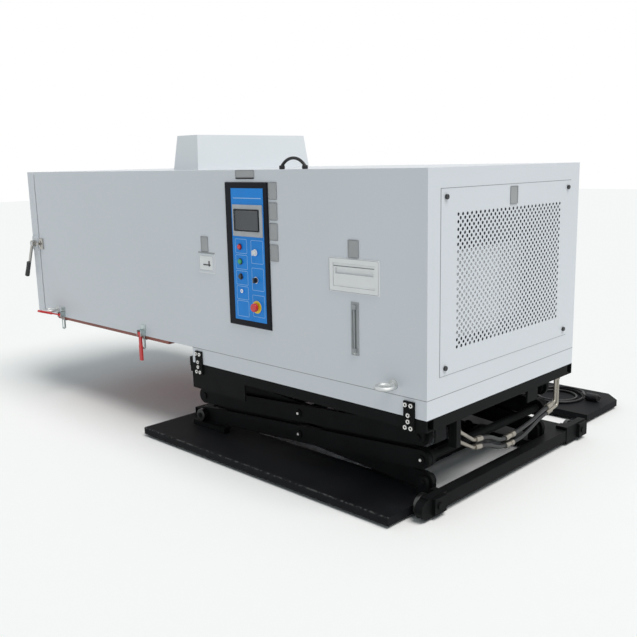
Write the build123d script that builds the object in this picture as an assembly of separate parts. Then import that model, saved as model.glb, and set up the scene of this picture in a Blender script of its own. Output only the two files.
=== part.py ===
"""Environmental test chamber on a rail carriage with a two-stage scissor lift.

The machine stands on four rail wheels. X runs along the long front face from the door end, Y runs back
from the front face and Z runs up from the rails. Every piece is drawn in this frame, and then moved so
that the origin lies under the middle of the machine.
"""
from build123d import *
import math
import os

# Cabinet: the insulated box with its door on the left end
BODY_LEFT = 90.0        # left end of the cabinet, where the door closes
BODY_RIGHT = 3150.0
BODY_D = 1200.0         # front face at y = 0
BODY_H = 900.0
SHEET = 3.0             # outer sheet steel
WALL = 100.0            # insulation between the outer sheet and the liner
LINER = 2.0             # stainless liner
OVERHANG = 1650.0       # left of this nothing carries the cabinet
SPACE_RIGHT = OVERHANG - WALL - 10      # right end of the liner
PLENUM = 300.0          # length of the air plenum behind the baffle
BAFFLE_X = SPACE_RIGHT - PLENUM
BAFFLE_GAP = 90.0       # slots under and over the baffle
SKIRT_H = 80.0
SKIRT_T = 4.0

# Bottom opening for a shaker table and the board that closes it
HOLE_X = (BODY_LEFT + 210, BAFFLE_X - 60)
HOLE_MARGIN_Y = 200.0
BOARD_X = (BODY_LEFT + 155, BAFFLE_X + 196)
BOARD_T = 18.0
BOARD_Y = 4.0
PLUG_H = 60.0           # insulated plug on the board, inside the opening
PLUG_CLEAR = 4.0

# Door
DOOR_T = 78.0
GASKET_W = 24.0
GASKET_INSET = 34.0
HINGE_PIN_R = 8.0
HINGE_KNUCKLE_R = 13.0
HINGE_OUT = 14.0        # hinge axis behind the rear face
HINGE_X = 84.0
HINGE_LEVELS = (110.0, 450.0, 790.0)
HINGE_H = 60.0
LEAF_T = 5.0
LEAF_W = 60.0
RUN = 0.05              # running fit on a pin
SEAT = 0.3              # gap between pieces that lie on each other but move
LATCH_X = 38.0
LATCH_Z = 450.0         # above the cabinet's bottom
LATCH_HUB_R = 20.0
LATCH_HUB_L = 26.0
LATCH_REACH = 68.0      # the lever's tooth lies over the keeper
LEVER_TOOTH_Y = -22.0
LEVER_L = 190.0
LEVER_T = 9.0
LEVER_LEAN = 24.0       # degrees from straight down, towards the left

# Carriage and base
WHEEL_R = 50.0
WHEEL_W = 28.0
WHEEL_X = BODY_RIGHT - 56
WHEEL_FRONT_Y = 45.0
WHEEL_REAR_Y = BODY_D + 90
INNER_WHEEL_Y = BODY_D / 4
AXLE_R = 12.0
PLATE_GROUND = 15.0
PLATE_T = 36.0
PLATE_X = (OVERHANG - 272, BODY_RIGHT - 78)
INNER_WHEEL_X = PLATE_X[0] + 122
PLATE_FRONT = -145.0
PLATE_DEPTH = 345.0
REAR_PLATE_X = (BODY_RIGHT - 850, BODY_RIGHT - 80)
REAR_PLATE_Y = (BODY_D + 370, BODY_D + 830)
REAR_PLATE_CUT = 90.0
NECK_W = 400.0
BEAM_W = 58.0
BEAM_H = 57.0
BEAM_GROUND = 25.0
BEAM_WALL = 5.0

# Two-stage scissor
PIVOT_X = BODY_RIGHT - 105
PIN_SPAN = PIVOT_X - OVERHANG + 55       # level distance between the fixed pivots and the rollers at rest
LEVEL = 103.0           # height of one stage at rest
ARM_R = 41.0
ARM_T = 22.0
ARM_Y = 105.0           # outer face of the outer arms
ARM_GAP = 3.0
PIN_R = 14.0
PIN_HEAD_R = 19.0
PIN_HEAD_T = 6.0
TIE_R = 20.0
LOW_TIE = 0.25          # share of the span where the lower tie of the first inner arms lies
EAR_TIE = 0.042         # the tie that carries the cylinder ears lies this share beyond them
ROLLER_R = 32.0
ROLLER_W = 32.0
ROLLER_GAP = 3.0
TRACK_H = 28.0
TRACK_L = 260.0
RAIL_H = 30.4
LUG_T = 20.0
LUG_R = 27.0
OPEN_PIVOT = 0.3        # extra room at the pivots where a linkage loop is open

# Hydraulic cylinders between the base and the first inner arms
CYL_Y = 260.0           # from the front face, and the same from the rear
CYL_BASE_X = PIVOT_X - 0.238 * PIN_SPAN
CYL_BASE_Z = 66.0
CYL_BEAM = 60.0         # from the foot pins to the beam that holds them
CYL_LUG_X = PIVOT_X - 0.686 * PIN_SPAN
CYL_LUG_DROP = 4.0      # lug pin under the arm's centre line
BARREL_R = 26.0
BARREL_L = 0.345 * PIN_SPAN
BARREL_BORE = 20.0
ROD_R = 14.0
PISTON_AT = 110.0       # the piston's face from the foot pin at rest
PISTON_L = 24.0
EYE_R = 24.0
EYE_W = 56.0
EAR_GAP = 2.0
EAR_T = 10.0
CYL_PIN_R = 12.0
EYE_ROOM = 2.6          # radial room in the rod eyes: the open pivot

# Top frame of the lift
TUBE = 50.0
TUBE_WALL = 5.0
SIDE_PLATE_X = (OVERHANG - 8, OVERHANG + 405)
SIDE_PLATE_H = 85.0
SIDE_PLATE_T = 8.0
STRAP_W = 54.0
STRAP_H = 122.0
STRAP_T = 8.0
STRAP_X = (OVERHANG + 57, BODY_RIGHT - 84)
STRAP_TOP = 14.0        # below the cabinet's bottom
STRAP_BOLT_R = 8.0
STRAP_BOLTS = ((-14.0, 14.0), (14.0, 14.0), (0.0, 56.0), (0.0, 82.0), (-14.0, 108.0), (14.0, 108.0))

# Hoses under the right end of the top frame, as (y, z) in one plane
HOSE_X = BODY_RIGHT - 25
HANGERS_Y = ((66.0, 136.0), (784.0, 876.0))
HOSE_R = 10.0
CORNER_SHARE = 0.45     # share of the shorter run that an arc takes at a cord's corner
PORT_X = (BODY_RIGHT - 46, BODY_RIGHT - 4)
PORT_Y = (212.0, 243.0)
PORT_LOW = 258.0
PORT_UPPER_Z = 322.0
PORT_LOWER_Z = 276.0
RISER_Y = (1086.0, 1110.0)
UPPER_HOSE = ((430, 240), (484, 233), (536, 212), (596, 184), (736, 191), (806, 200), (872, 211), (940, 231),
              (1006, 241))
LOWER_HOSE = ((425, 206), (480, 198), (534, 174), (598, 152), (728, 148), (796, 158), (862, 176), (932, 204),
              (1001, 214))
CRIMP_R = 13.0
CRIMP_L = 46.0
FITTING_R = 8.0

# Supply cable lying on the rear plate
CABLE_R = 7.0
GLAND_POS = (BODY_RIGHT - 590, BODY_D + 118)
GLAND_UP = 22.0
# The cable's route: places from the gland, and the heights of its middle line
CABLE_DROP = ((0, 48, 73), (1, 94, 66), (10, 148, 58.3), (6, 226, 58.3), (20, 300, 58.3), (42, 342, 58.3),
              (55, 382, 58.3))
COIL_POS = (GLAND_POS[0] + 210, GLAND_POS[1] + 472)
COIL_OUT_R = 168.0
COIL_IN_R = 92.0
COIL_H = 40.0
PLUG_R = 22.0
PLUG_L = 70.0

# Front face: places are measured from the cabinet's left end of the front face and from its bottom
BEZEL_X = (1974.0, 2270.0)
BEZEL_Z = (168.0, 844.0)
BEZEL_T = 8.0
BEZEL_BOX_D = 140.0
FASCIA_X = (2021.0, 2243.0)
FASCIA_Z = (198.0, 817.0)
FASCIA_T = 5.0
PANEL_X = (2033.0, 2237.0)
PANEL_Z = (596.0, 742.0)
PANEL_T = 7.0
PANEL_BODY_D = 40.0
BUTTON_X = 2075.0
BUTTON_Z = (546.0, 477.0, 406.0)
BUTTON_R = 11.0
BUTTON_RING_R = 15.0
BUTTON_OUT = 12.0
BUTTON_TRAVEL = 4.0
KEY_Z = 337.0
SWITCH_X = 2182.0
SWITCH_Z = (525.0, 397.0)
SWITCH_R = 12.0
STOP_Z = 270.0
STOP_PLATE_R = 30.0
STOP_R = 20.0
STOP_TRAVEL = 6.0
FLAP_X = (1745.0, 1866.0)
FLAP_Z = (404.0, 495.0)
FLAP_RIM = 9.0
FLAP_T = 3.0
FLAP_AXIS_Y = -3.5
FLAP_AXIS_DROP = 4.0
FLAP_PIN_R = 1.2
DRAWER_X = (BODY_RIGHT - 510, BODY_RIGHT - 236)
DRAWER_Z = (394.0, 536.0)
DRAWER_RIM = 22.0
DRAWER_D = 350.0
DRAWER_WALL = 3.0
DRAWER_TRAVEL = 260.0
SHOE_INSET = 14.0       # the rear shoes stop this far behind the bezel when the drawer is out
GAUGE_X = BODY_RIGHT - 369
GAUGE_W = 42.0
GAUGE_Z = (131.0, 357.0)

# Right end: removable ventilated panel
SIDE_Y = (83.0, BODY_D - 83)
SIDE_Z = (82.0, 820.0)
SIDE_T = 2.0
PERF_Y = (182.0, BODY_D - 170)
PERF_Z = (178.0, 725.0)
PERF_PITCH = 77.0
PERF_R = 15.0
KNOB_R = 17.0
KNOB_T = 14.0
KNOB_INSET = 31.0

# Roof
HOOD_X = SPACE_RIGHT - 119         # also the axis of the circulation fan
HOOD_W = 213.0
HOOD_L = BODY_D - 375
HOOD_H = 180.0
HOOD_TAPER = 20.0
HOOD_SHEET = 2.0
GRIP_X = BODY_RIGHT - 760
GRIP_Y = 45.0
GRIP_SPAN = 150.0
GRIP_H = 46.0
GRIP_R = 9.0
EYE_X = (BODY_LEFT + 163, BODY_RIGHT - 165)
EYE_Z = 42.0
EYE_OUT = 58.0
EYE_RING_R = 44.0
EYE_WIRE_R = 9.0

# Inside the cabinet
FAN_R = 105.0
FAN_H = 70.0
FAN_BLADES = 9
BLADE_T = 3.0
SHAFT_R = 10.0
MOTOR_R = 72.0
MOTOR_H = 120.0
COIL_BLOCK_X = (SPACE_RIGHT - 180, SPACE_RIGHT - 40)
COIL_BLOCK_Y = (300.0, BODY_D - 300)
COIL_BLOCK_Z = (160.0, 520.0)
FIN_COUNT = 13
FIN_T = 3.0
COMPRESSOR_R = 112.0
COMPRESSOR_H = 270.0
COMPRESSOR_Y = BODY_D - 400
CONDENSER_X = (BODY_RIGHT - 190, BODY_RIGHT - 110)
COMPRESSOR_X = tuple(OVERHANG + share * (CONDENSER_X[0] - OVERHANG) for share in (0.23, 0.535))
CONDENSER_Y = (BODY_D - 550, BODY_D - 110)
CONDENSER_Z = (60.0, 560.0)
COOL_FAN_R = 180.0
COOL_FAN_BLADES = 5
BLADE_LONG = 144.0
BLADE_WIDE = 92.0
BLADE_THICK = 4.0
TANK_X = (BODY_RIGHT - 190, BODY_RIGHT - 60)
TANK_Y = (240.0, BODY_D - 600)
TANK_Z = (200.0, 560.0)

# Clamps that hold the board
CLAMP_X = (BOARD_X[0] + 79, BAFFLE_X - 30)
CLAMP_W = 40.0
CLAMP_BASE_H = 62.0
CLAMP_PIVOT_Y = -24.0
CLAMP_PIVOT_Z = 14.0    # above the cabinet's bottom
CLAMP_PIN_R = 4.0
CLAMP_L = 150.0
CLAMP_OPEN = 108.0      # degrees: the left clamp stands open
LOOP_R = 3.0
LOOP_Y = -8.0
LOOP_HALF = 12.0
LOOP_LOW = 74.0
HOOK_HALF = 8.0

# Levels worked out from the stack
PLATE_TOP = PLATE_GROUND + PLATE_T
LOW_PIN_Z = PLATE_TOP + TRACK_H + ROLLER_R + SEAT
MID_PIN_Z = LOW_PIN_Z + LEVEL
TOP_PIN_Z = MID_PIN_Z + LEVEL
RAIL_Z = TOP_PIN_Z + ROLLER_R + SEAT
FRAME_Z = RAIL_Z + RAIL_H
BODY_Z = FRAME_Z + TUBE + SKIRT_H
BODY_TOP = BODY_Z + BODY_H
REST_ANGLE = math.degrees(math.atan2(LEVEL, PIN_SPAN))
ARM_SPAN = math.hypot(LEVEL, PIN_SPAN)
LEFT_X = PIVOT_X - PIN_SPAN
CENTRE_X = PIVOT_X - PIN_SPAN / 2
INNER_Y = ARM_Y + ARM_T + ARM_GAP
MID_Y = BODY_D / 2
LATCH_LEFT = LATCH_X - (LEVER_L + 40) * math.sin(math.radians(LEVER_LEAN)) - 12
FORK_RIGHT = BODY_RIGHT + 16
FORK_HEAD = 6.0
CLAMP_REACH = CLAMP_PIVOT_Y - CLAMP_L * math.sin(math.radians(CLAMP_OPEN))
ORIGIN_X = (LATCH_LEFT + FORK_RIGHT + FORK_HEAD) / 2
ORIGIN_Y = (CLAMP_REACH + REAR_PLATE_Y[1]) / 2


def block(x0, x1, y0, y1, z0, z1):
    """A box between two corners."""
    return Pos((x0 + x1) / 2, (y0 + y1) / 2, (z0 + z1) / 2) * Box(x1 - x0, y1 - y0, z1 - z0)


def rod_x(x0, x1, y, z, radius):
    """A round bar along X."""
    return Pos((x0 + x1) / 2, y, z) * Rot(0, 90, 0) * Cylinder(radius, x1 - x0)


def rod_y(y0, y1, x, z, radius):
    """A round bar along Y."""
    return Pos(x, (y0 + y1) / 2, z) * Rot(90, 0, 0) * Cylinder(radius, y1 - y0)


def rod_z(z0, z1, x, y, radius):
    """An upright round bar."""
    return Pos(x, y, (z0 + z1) / 2) * Cylinder(radius, z1 - z0)


def hollow(outer, wall, open_faces=()):
    """The box (x0, x1, y0, y1, z0, z1) as sheet of one wall, open on the named sides."""
    sides = ("left", "right", "front", "back", "bottom", "top")
    signs = (1, -1, 1, -1, 1, -1)
    inner = [v + (-s * wall if side in open_faces else s * wall)
             for v, s, side in zip(outer, signs, sides)]
    return block(*outer) - block(*inner)


def mirror_rear(shape):
    """The same piece on the rear side of the machine."""
    return mirror(shape, Plane.XZ.offset(-MID_Y))


def both(shape):
    """A front piece and its rear twin."""
    return [shape, mirror_rear(shape)]


def save(name, *shapes):
    """Write one sub-part in the part's own frame."""
    solids = []
    for shape in shapes:
        solids.extend(shape.solids() if hasattr(shape, "solids") else [shape])
    moved = [Pos(-ORIGIN_X, -ORIGIN_Y, 0) * s for s in solids]
    export_step(Compound(moved) if len(moved) > 1 else moved[0], f"parts/{name}.step")


# Carriage
def front_plate():
    """Thick tread plate with a softened edge, notched for the right wheel."""
    plate = block(PLATE_X[0], PLATE_X[1], PLATE_FRONT, PLATE_FRONT + PLATE_DEPTH, PLATE_GROUND, PLATE_TOP)
    plate += block(PLATE_X[1], BODY_RIGHT - 3 - BEAM_W, WHEEL_FRONT_Y + 85, PLATE_FRONT + PLATE_DEPTH,
                   PLATE_GROUND, PLATE_TOP)
    edges = plate.edges().filter_by(Axis.X).group_by(Axis.Y)[0].group_by(Axis.Z)[-1]
    return chamfer(edges, 3)


def rear_plate():
    """Rear deck for cables: a wide plate with one cut corner and a neck to the base."""
    x0, x1 = REAR_PLATE_X
    y0, y1 = REAR_PLATE_Y
    neck_y = BODY_D - PLATE_FRONT
    outline = [(x0, neck_y), (x0 + NECK_W, neck_y), (x0 + NECK_W, y0), (x1, y0), (x1, y1 - REAR_PLATE_CUT),
               (x1 - REAR_PLATE_CUT, y1), (x0, y1)]
    return Pos(0, 0, PLATE_GROUND) * extrude(make_face(Polyline(*outline, close=True)), PLATE_T)


def beam_y(x0, y0, y1):
    """Rectangular tube along Y in the base."""
    outer = block(x0, x0 + BEAM_W, y0, y1, BEAM_GROUND, BEAM_GROUND + BEAM_H)
    return outer - block(x0 + BEAM_WALL, x0 + BEAM_W - BEAM_WALL, y0 - 1, y1 + 1,
                         BEAM_GROUND + BEAM_WALL, BEAM_GROUND + BEAM_H - BEAM_WALL)


def pivot_lug(x, z, y0, z_foot, thick):
    """Upright plate with a rounded end about a pin."""
    low, high = sorted((z, z_foot))
    lug = block(x - LUG_R, x + LUG_R, y0, y0 + thick, low, high) + rod_y(y0, y0 + thick, x, z, LUG_R)
    return lug


def rear_deck():
    """Rear half of the base: the same plate as in front, under the rear arms."""
    y0, y1 = BODY_D - PLATE_FRONT - PLATE_DEPTH, BODY_D - PLATE_FRONT
    deck = block(PLATE_X[0], PLATE_X[1], y0, y1, PLATE_GROUND, PLATE_TOP)
    deck += block(PLATE_X[1], BODY_RIGHT - 3 - BEAM_W, y0, WHEEL_REAR_Y - 120, PLATE_GROUND, PLATE_TOP)
    return deck


def wheel_fork(y, inner_y0, inner_y1):
    """Housing of one right wheel: a rounded cheek outside it, a bearing plate and a bridge to the beam."""
    gap = WHEEL_W / 2 + 4
    cheek = block(WHEEL_X + gap, BODY_RIGHT, y - 34, y + 82, 12, 98)
    cheek += rod_x(WHEEL_X + gap, BODY_RIGHT, y - 34, WHEEL_R + 3, 41)
    cheek += block(BODY_RIGHT, FORK_RIGHT, y - 5, y + 75, 22, 92)
    bridge = block(BODY_RIGHT - 3 - BEAM_W, BODY_RIGHT, inner_y0, inner_y1, 12, 98)
    pin = rod_x(WHEEL_X - WHEEL_W / 2 - 5, WHEEL_X + gap, y, WHEEL_R, AXLE_R)
    head = rod_x(FORK_RIGHT, FORK_RIGHT + FORK_HEAD, y + 28, WHEEL_R + 6, 16)
    return cheek + bridge + pin + head


def inner_fork(y):
    """Bracket of one wheel under the left beam."""
    half = WHEEL_W / 2
    side = block(INNER_WHEEL_X + half + 4, INNER_WHEEL_X + half + 14, y - 38, y + 38, 18, 98)
    other = block(INNER_WHEEL_X - half - 14, INNER_WHEEL_X - half - 4, y - 38, y + 38, 18, 98)
    top = block(INNER_WHEEL_X - half - 14, INNER_WHEEL_X + half + 14, y - 38, y + 38, 104, 114)
    sides = block(INNER_WHEEL_X - half - 14, INNER_WHEEL_X - half - 4, y - 38, y + 38, 97, 105)
    sides += block(INNER_WHEEL_X + half + 4, INNER_WHEEL_X + half + 14, y - 38, y + 38, 97, 105)
    pin = rod_x(INNER_WHEEL_X - half - 14, INNER_WHEEL_X + half + 14, y, WHEEL_R, AXLE_R)
    link = block(PLATE_X[0] + 50, INNER_WHEEL_X - half - 14, y - 30, y + 30, 30, 78)
    return side + other + top + sides + pin + link


def base_frame():
    """Welded base: rear deck, beams, wheel housings, tracks, pivot lugs and cylinder feet."""
    y_front = PLATE_FRONT + PLATE_DEPTH
    y_rear = BODY_D - y_front
    front_bridge = (WHEEL_FRONT_Y + 60, WHEEL_FRONT_Y + 92)
    rear_bridge = (WHEEL_REAR_Y - 112, WHEEL_REAR_Y - 60)
    right = beam_y(BODY_RIGHT - 3 - BEAM_W, front_bridge[1], rear_bridge[0])
    left = beam_y(PLATE_X[0], y_front, y_rear)
    middle = beam_y(CYL_BASE_X + CYL_BEAM, y_front, y_rear)
    frame = rear_deck() + right + left + middle
    frame += wheel_fork(WHEEL_FRONT_Y, *front_bridge)
    rear_fork = wheel_fork(WHEEL_REAR_Y, *rear_bridge)
    frame += rear_fork
    frame += block(WHEEL_X + WHEEL_W / 2 + 4, BODY_RIGHT, rear_bridge[0], WHEEL_REAR_Y - 30, 12, 98)
    frame += inner_fork(INNER_WHEEL_Y) + inner_fork(BODY_D - INNER_WHEEL_Y)
    rear_pieces = mirror_rear(lift_feet())
    frame += rear_pieces
    for y in (CYL_Y, BODY_D - CYL_Y):
        for side in (-1, 1):
            y0, y1 = ear_place(y, side)
            foot = pivot_lug(CYL_BASE_X, CYL_BASE_Z, y0, BEAM_GROUND, EAR_T)
            foot += block(CYL_BASE_X, CYL_BASE_X + CYL_BEAM + 1, y0, y1, BEAM_GROUND, BEAM_GROUND + BEAM_H)
            frame += foot
        frame += rod_y(ear_place(y, -1)[0], ear_place(y, 1)[1], CYL_BASE_X, CYL_BASE_Z, CYL_PIN_R)
    x, y = GLAND_POS
    frame += block(x - 30, x + 30, y - 4, y + 4, PLATE_TOP, PLATE_TOP + 52)
    frame += rod_y(y, y + 34, x, PLATE_TOP + GLAND_UP, 13)
    return frame, lift_feet()


def ear_place(y, side):
    """Where one ear beside a cylinder's eye starts and ends."""
    near = y + side * (EYE_W / 2 + EAR_GAP)
    return min(near, near + side * EAR_T), max(near, near + side * EAR_T)


def lift_feet():
    """On one deck: the roller track, and the lugs and pin of the fixed lower pivot."""
    y_roll = ARM_Y - ROLLER_GAP - ROLLER_W
    track = block(LEFT_X - 60, LEFT_X - 60 + TRACK_L, y_roll - 2, y_roll + ROLLER_W + 1, PLATE_TOP,
                  PLATE_TOP + TRACK_H)
    outer = pivot_lug(PIVOT_X, LOW_PIN_Z, INNER_Y - ARM_GAP - LUG_T, PLATE_TOP, LUG_T)
    inner = pivot_lug(PIVOT_X, LOW_PIN_Z, INNER_Y + ARM_T + ARM_GAP, PLATE_TOP, LUG_T)
    pin = rod_y(INNER_Y - ARM_GAP - LUG_T - PIN_HEAD_T, INNER_Y + ARM_T + ARM_GAP + LUG_T, PIVOT_X,
                LOW_PIN_Z, PIN_R)
    return outer + inner + pin + track


def wheel(x, y):
    """Rail wheel: a crowned tread with a flange on its inner side."""
    half = WHEEL_W / 2
    bore = AXLE_R + RUN
    outline = [(bore, -half), (WHEEL_R - 14, -half), (WHEEL_R - 14, -half + 5), (WHEEL_R - 1, -half + 5),
               (WHEEL_R, -half + 8), (WHEEL_R, half - 8), (WHEEL_R - 1, half - 5), (WHEEL_R - 10, half - 5),
               (WHEEL_R - 10, half), (bore, half)]
    profile = make_face(Polyline(*outline, close=True))
    turned = revolve(Plane.XZ * profile, Axis.Z)
    return Pos(x, y, WHEEL_R) * Rot(0, 90, 0) * turned


# Scissor lift
def arm(y0, bores):
    """Flat arm from the fixed end at x = 0 to the free end at x = -ARM_SPAN, with a bore at each pin."""
    bar = Pos(-ARM_SPAN / 2, 0, 0) * Rot(90, 0, 0) * extrude(
        SlotCenterToCenter(ARM_SPAN, 2 * ARM_R), ARM_T / 2, both=True)
    bar = Pos(0, y0 + ARM_T / 2, 0) * bar
    for place, radius in bores:
        bar -= rod_y(y0 - 1, y0 + ARM_T + 1, -place * ARM_SPAN, 0, radius)
    return bar


def place_arm(shape, x, z, lean):
    """Turn an arm about its fixed end: lean is up towards the free end, in degrees."""
    return Pos(x, 0, z) * Rot(0, lean, 0) * shape


def pin_at(place, y0, y1, radius=PIN_R):
    """Pin across an arm, at a share of its span from the fixed end."""
    return rod_y(y0, y1, -place * ARM_SPAN, 0, radius)


def tie(place, y0):
    """Round cross tube from one side's arm to the other's."""
    return rod_y(y0, BODY_D - y0, -place * ARM_SPAN, 0, TIE_R)


def first_inner_arms():
    """Lower fixed pivot to the middle left pins; carries both and the cylinder lugs."""
    out_y = ARM_Y - PIN_HEAD_T
    bar = arm(INNER_Y, ((0, PIN_R + RUN),))
    pins = pin_at(0.5, ARM_Y, INNER_Y + 1) + pin_at(0.5, out_y, ARM_Y - 0.5, PIN_HEAD_R)
    pins += pin_at(0.5, ARM_Y - 1, ARM_Y) + pin_at(1, ARM_Y, INNER_Y + 1)
    pins += pin_at(1, out_y, ARM_Y - 0.5, PIN_HEAD_R) + pin_at(1, ARM_Y - 1, ARM_Y)
    one_side = bar + pins
    ties = tie(LOW_TIE, INNER_Y + ARM_T - 1) + tie(1, INNER_Y + ARM_T - 1)
    share = (PIVOT_X - CYL_LUG_X) / math.cos(math.radians(REST_ANGLE)) / ARM_SPAN
    ties += tie(share + EAR_TIE, INNER_Y + ARM_T - 1)
    whole = one_side + mirror_rear(one_side) + ties
    for y in (CYL_Y, BODY_D - CYL_Y):
        for side in (-1, 1):
            y0, y1 = ear_place(y, side)
            ear = rod_y(y0, y1, -share * ARM_SPAN, -CYL_LUG_DROP, EYE_R)
            ear += block(-(share + EAR_TIE) * ARM_SPAN, -share * ARM_SPAN, y0, y1, -14, 14)
            whole += ear
        whole += rod_y(ear_place(y, -1)[0], ear_place(y, 1)[1], -share * ARM_SPAN, -CYL_LUG_DROP, CYL_PIN_R)
    return place_arm(whole, PIVOT_X, LOW_PIN_Z, REST_ANGLE)


def first_outer_arms():
    """Lower rollers to the middle right pins, which it carries, with ties at both ends."""
    bar = arm(ARM_Y, ((0.5, PIN_R + RUN),))
    right = pin_at(0, ARM_Y + ARM_T - 1, INNER_Y + ARM_T + 4)
    right += pin_at(0, ARM_Y - PIN_HEAD_T, ARM_Y + 1, PIN_HEAD_R)
    axle = pin_at(1, ARM_Y - ROLLER_GAP - ROLLER_W - 3, ARM_Y + 1)
    one_side = bar + right + axle
    whole = one_side + mirror_rear(one_side) + tie(0, INNER_Y + ARM_T + 3) + tie(1, ARM_Y + ARM_T - 1)
    return place_arm(whole, PIVOT_X, MID_PIN_Z, -REST_ANGLE)


def second_inner_arms():
    """Middle right pins to the upper rollers, with the upper centre pins."""
    out_y = ARM_Y - PIN_HEAD_T
    bar = arm(INNER_Y, ((0, PIN_R + RUN),))
    pins = pin_at(0.5, ARM_Y - 1, INNER_Y + 1) + pin_at(0.5, out_y, ARM_Y - 0.5, PIN_HEAD_R)
    axle = pin_at(1, ARM_Y - ROLLER_GAP - ROLLER_W - 3, INNER_Y + 1)
    one_side = bar + pins + axle
    whole = one_side + mirror_rear(one_side)
    whole += tie(0.5, INNER_Y + ARM_T - 1) + tie(1, INNER_Y + ARM_T - 1)
    return place_arm(whole, PIVOT_X, MID_PIN_Z, REST_ANGLE)


def second_outer_arms():
    """Middle left pins to the fixed upper pivots, with one tie near the upper end."""
    bar = arm(ARM_Y, ((0, PIN_R + RUN), (0.5, PIN_R + RUN), (1, PIN_R + OPEN_PIVOT)))
    cross = rod_y(ARM_Y + ARM_T - 1, BODY_D - ARM_Y - ARM_T + 1, -95, 4, 16)
    whole = bar + mirror_rear(bar) + cross
    return place_arm(whole, PIVOT_X, TOP_PIN_Z, -REST_ANGLE)


def roller(z):
    """Track roller with a bore for its axle."""
    y1 = ARM_Y - ROLLER_GAP
    body = rod_y(y1 - ROLLER_W, y1, LEFT_X, z, ROLLER_R) - rod_y(0, y1 + 1, LEFT_X, z, PIN_R + RUN)
    rims = body.edges().filter_by(GeomType.CIRCLE).sort_by(lambda e: -e.radius)[:2]
    return chamfer(rims, 2)


def cylinder_line():
    """Foot pin, lug pin, length and slope of a cylinder at rest."""
    turn = math.radians(REST_ANGLE)
    along = (PIVOT_X - CYL_LUG_X) / math.cos(turn)
    lug_x = PIVOT_X - along * math.cos(turn) - CYL_LUG_DROP * math.sin(turn)
    lug_z = LOW_PIN_Z + along * math.sin(turn) - CYL_LUG_DROP * math.cos(turn)
    run = math.hypot(CYL_BASE_X - lug_x, lug_z - CYL_BASE_Z)
    slope = math.degrees(math.atan2(lug_z - CYL_BASE_Z, CYL_BASE_X - lug_x))
    return lug_x, lug_z, run, slope


def barrel(y):
    """Cylinder barrel with a foot eye, an end cap and a gland nut, open for its rod."""
    _, _, _, slope = cylinder_line()
    tube = rod_x(-BARREL_L, -EYE_R + 6, 0, 0, BARREL_R)
    tube += rod_x(-BARREL_L - 14, -BARREL_L + 6, 0, 0, BARREL_R + 3)
    tube -= rod_x(-BARREL_L - 15, -60, 0, 0, BARREL_BORE)
    tube += rod_x(-BARREL_L - 14, -BARREL_L + 6, 0, 0, BARREL_R + 3) - rod_x(
        -BARREL_L - 20, -BARREL_L + 10, 0, 0, ROD_R + SEAT)
    eye = rod_y(-EYE_W / 2, EYE_W / 2, 0, 0, EYE_R)
    whole = tube + eye - rod_y(-EYE_W, EYE_W, 0, 0, CYL_PIN_R + RUN)
    return Pos(CYL_BASE_X, y, CYL_BASE_Z) * Rot(0, slope, 0) * whole


def rod(y):
    """Cylinder rod with its piston and the eye at the arm, whose bore has the open pivot's room."""
    _, _, run, slope = cylinder_line()
    tip = -run
    body = rod_x(tip + EYE_R - 6, -PISTON_AT, 0, 0, ROD_R)
    body += rod_x(-PISTON_AT - PISTON_L, -PISTON_AT, 0, 0, BARREL_BORE - SEAT)
    eye = rod_y(-EYE_W / 2, EYE_W / 2, tip, 0, EYE_R)
    whole = body + eye - rod_y(-EYE_W, EYE_W, tip, 0, CYL_PIN_R + EYE_ROOM)
    return Pos(CYL_BASE_X, y, CYL_BASE_Z) * Rot(0, slope, 0) * whole


# Top frame
def tube_x(x0, x1, y0):
    """Square tube along X in the top frame."""
    outer = block(x0, x1, y0, y0 + TUBE, FRAME_Z, FRAME_Z + TUBE)
    return outer - block(x0 - 1, x1 + 1, y0 + TUBE_WALL, y0 + TUBE - TUBE_WALL, FRAME_Z + TUBE_WALL,
                         FRAME_Z + TUBE - TUBE_WALL)


def tube_y(x0, y0, y1):
    """Square tube along Y in the top frame."""
    outer = block(x0, x0 + TUBE, y0, y1, FRAME_Z, FRAME_Z + TUBE)
    return outer - block(x0 + TUBE_WALL, x0 + TUBE - TUBE_WALL, y0 - 1, y1 + 1, FRAME_Z + TUBE_WALL,
                         FRAME_Z + TUBE - TUBE_WALL)


def top_lift_side():
    """Front side plate, roller rail and the fixed upper pivot's lugs, pin and beam."""
    y_roll = ARM_Y - ROLLER_GAP - ROLLER_W
    plate = block(SIDE_PLATE_X[0], SIDE_PLATE_X[1], 0, SIDE_PLATE_T, FRAME_Z - SIDE_PLATE_H, FRAME_Z)
    rail = block(LEFT_X - 60, LEFT_X - 60 + TRACK_L, y_roll - 2, y_roll + ROLLER_W + 1, RAIL_Z, FRAME_Z)
    bearer = tube_x(LEFT_X - 60, BODY_RIGHT - TUBE, y_roll - 5)
    inner = tube_x(OVERHANG + TUBE, BODY_RIGHT - TUBE, ARM_Y + 22)
    outer_lug = pivot_lug(PIVOT_X, TOP_PIN_Z, ARM_Y - ARM_GAP - LUG_T, FRAME_Z, LUG_T)
    inner_lug = pivot_lug(PIVOT_X, TOP_PIN_Z, ARM_Y + ARM_T + ARM_GAP, FRAME_Z, LUG_T)
    pin_y = (ARM_Y - ARM_GAP - LUG_T - PIN_HEAD_T, ARM_Y + ARM_T + ARM_GAP + LUG_T)
    pin = rod_y(*pin_y, PIVOT_X, TOP_PIN_Z, PIN_R)
    return plate + rail + bearer + inner + outer_lug + inner_lug + pin


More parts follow.
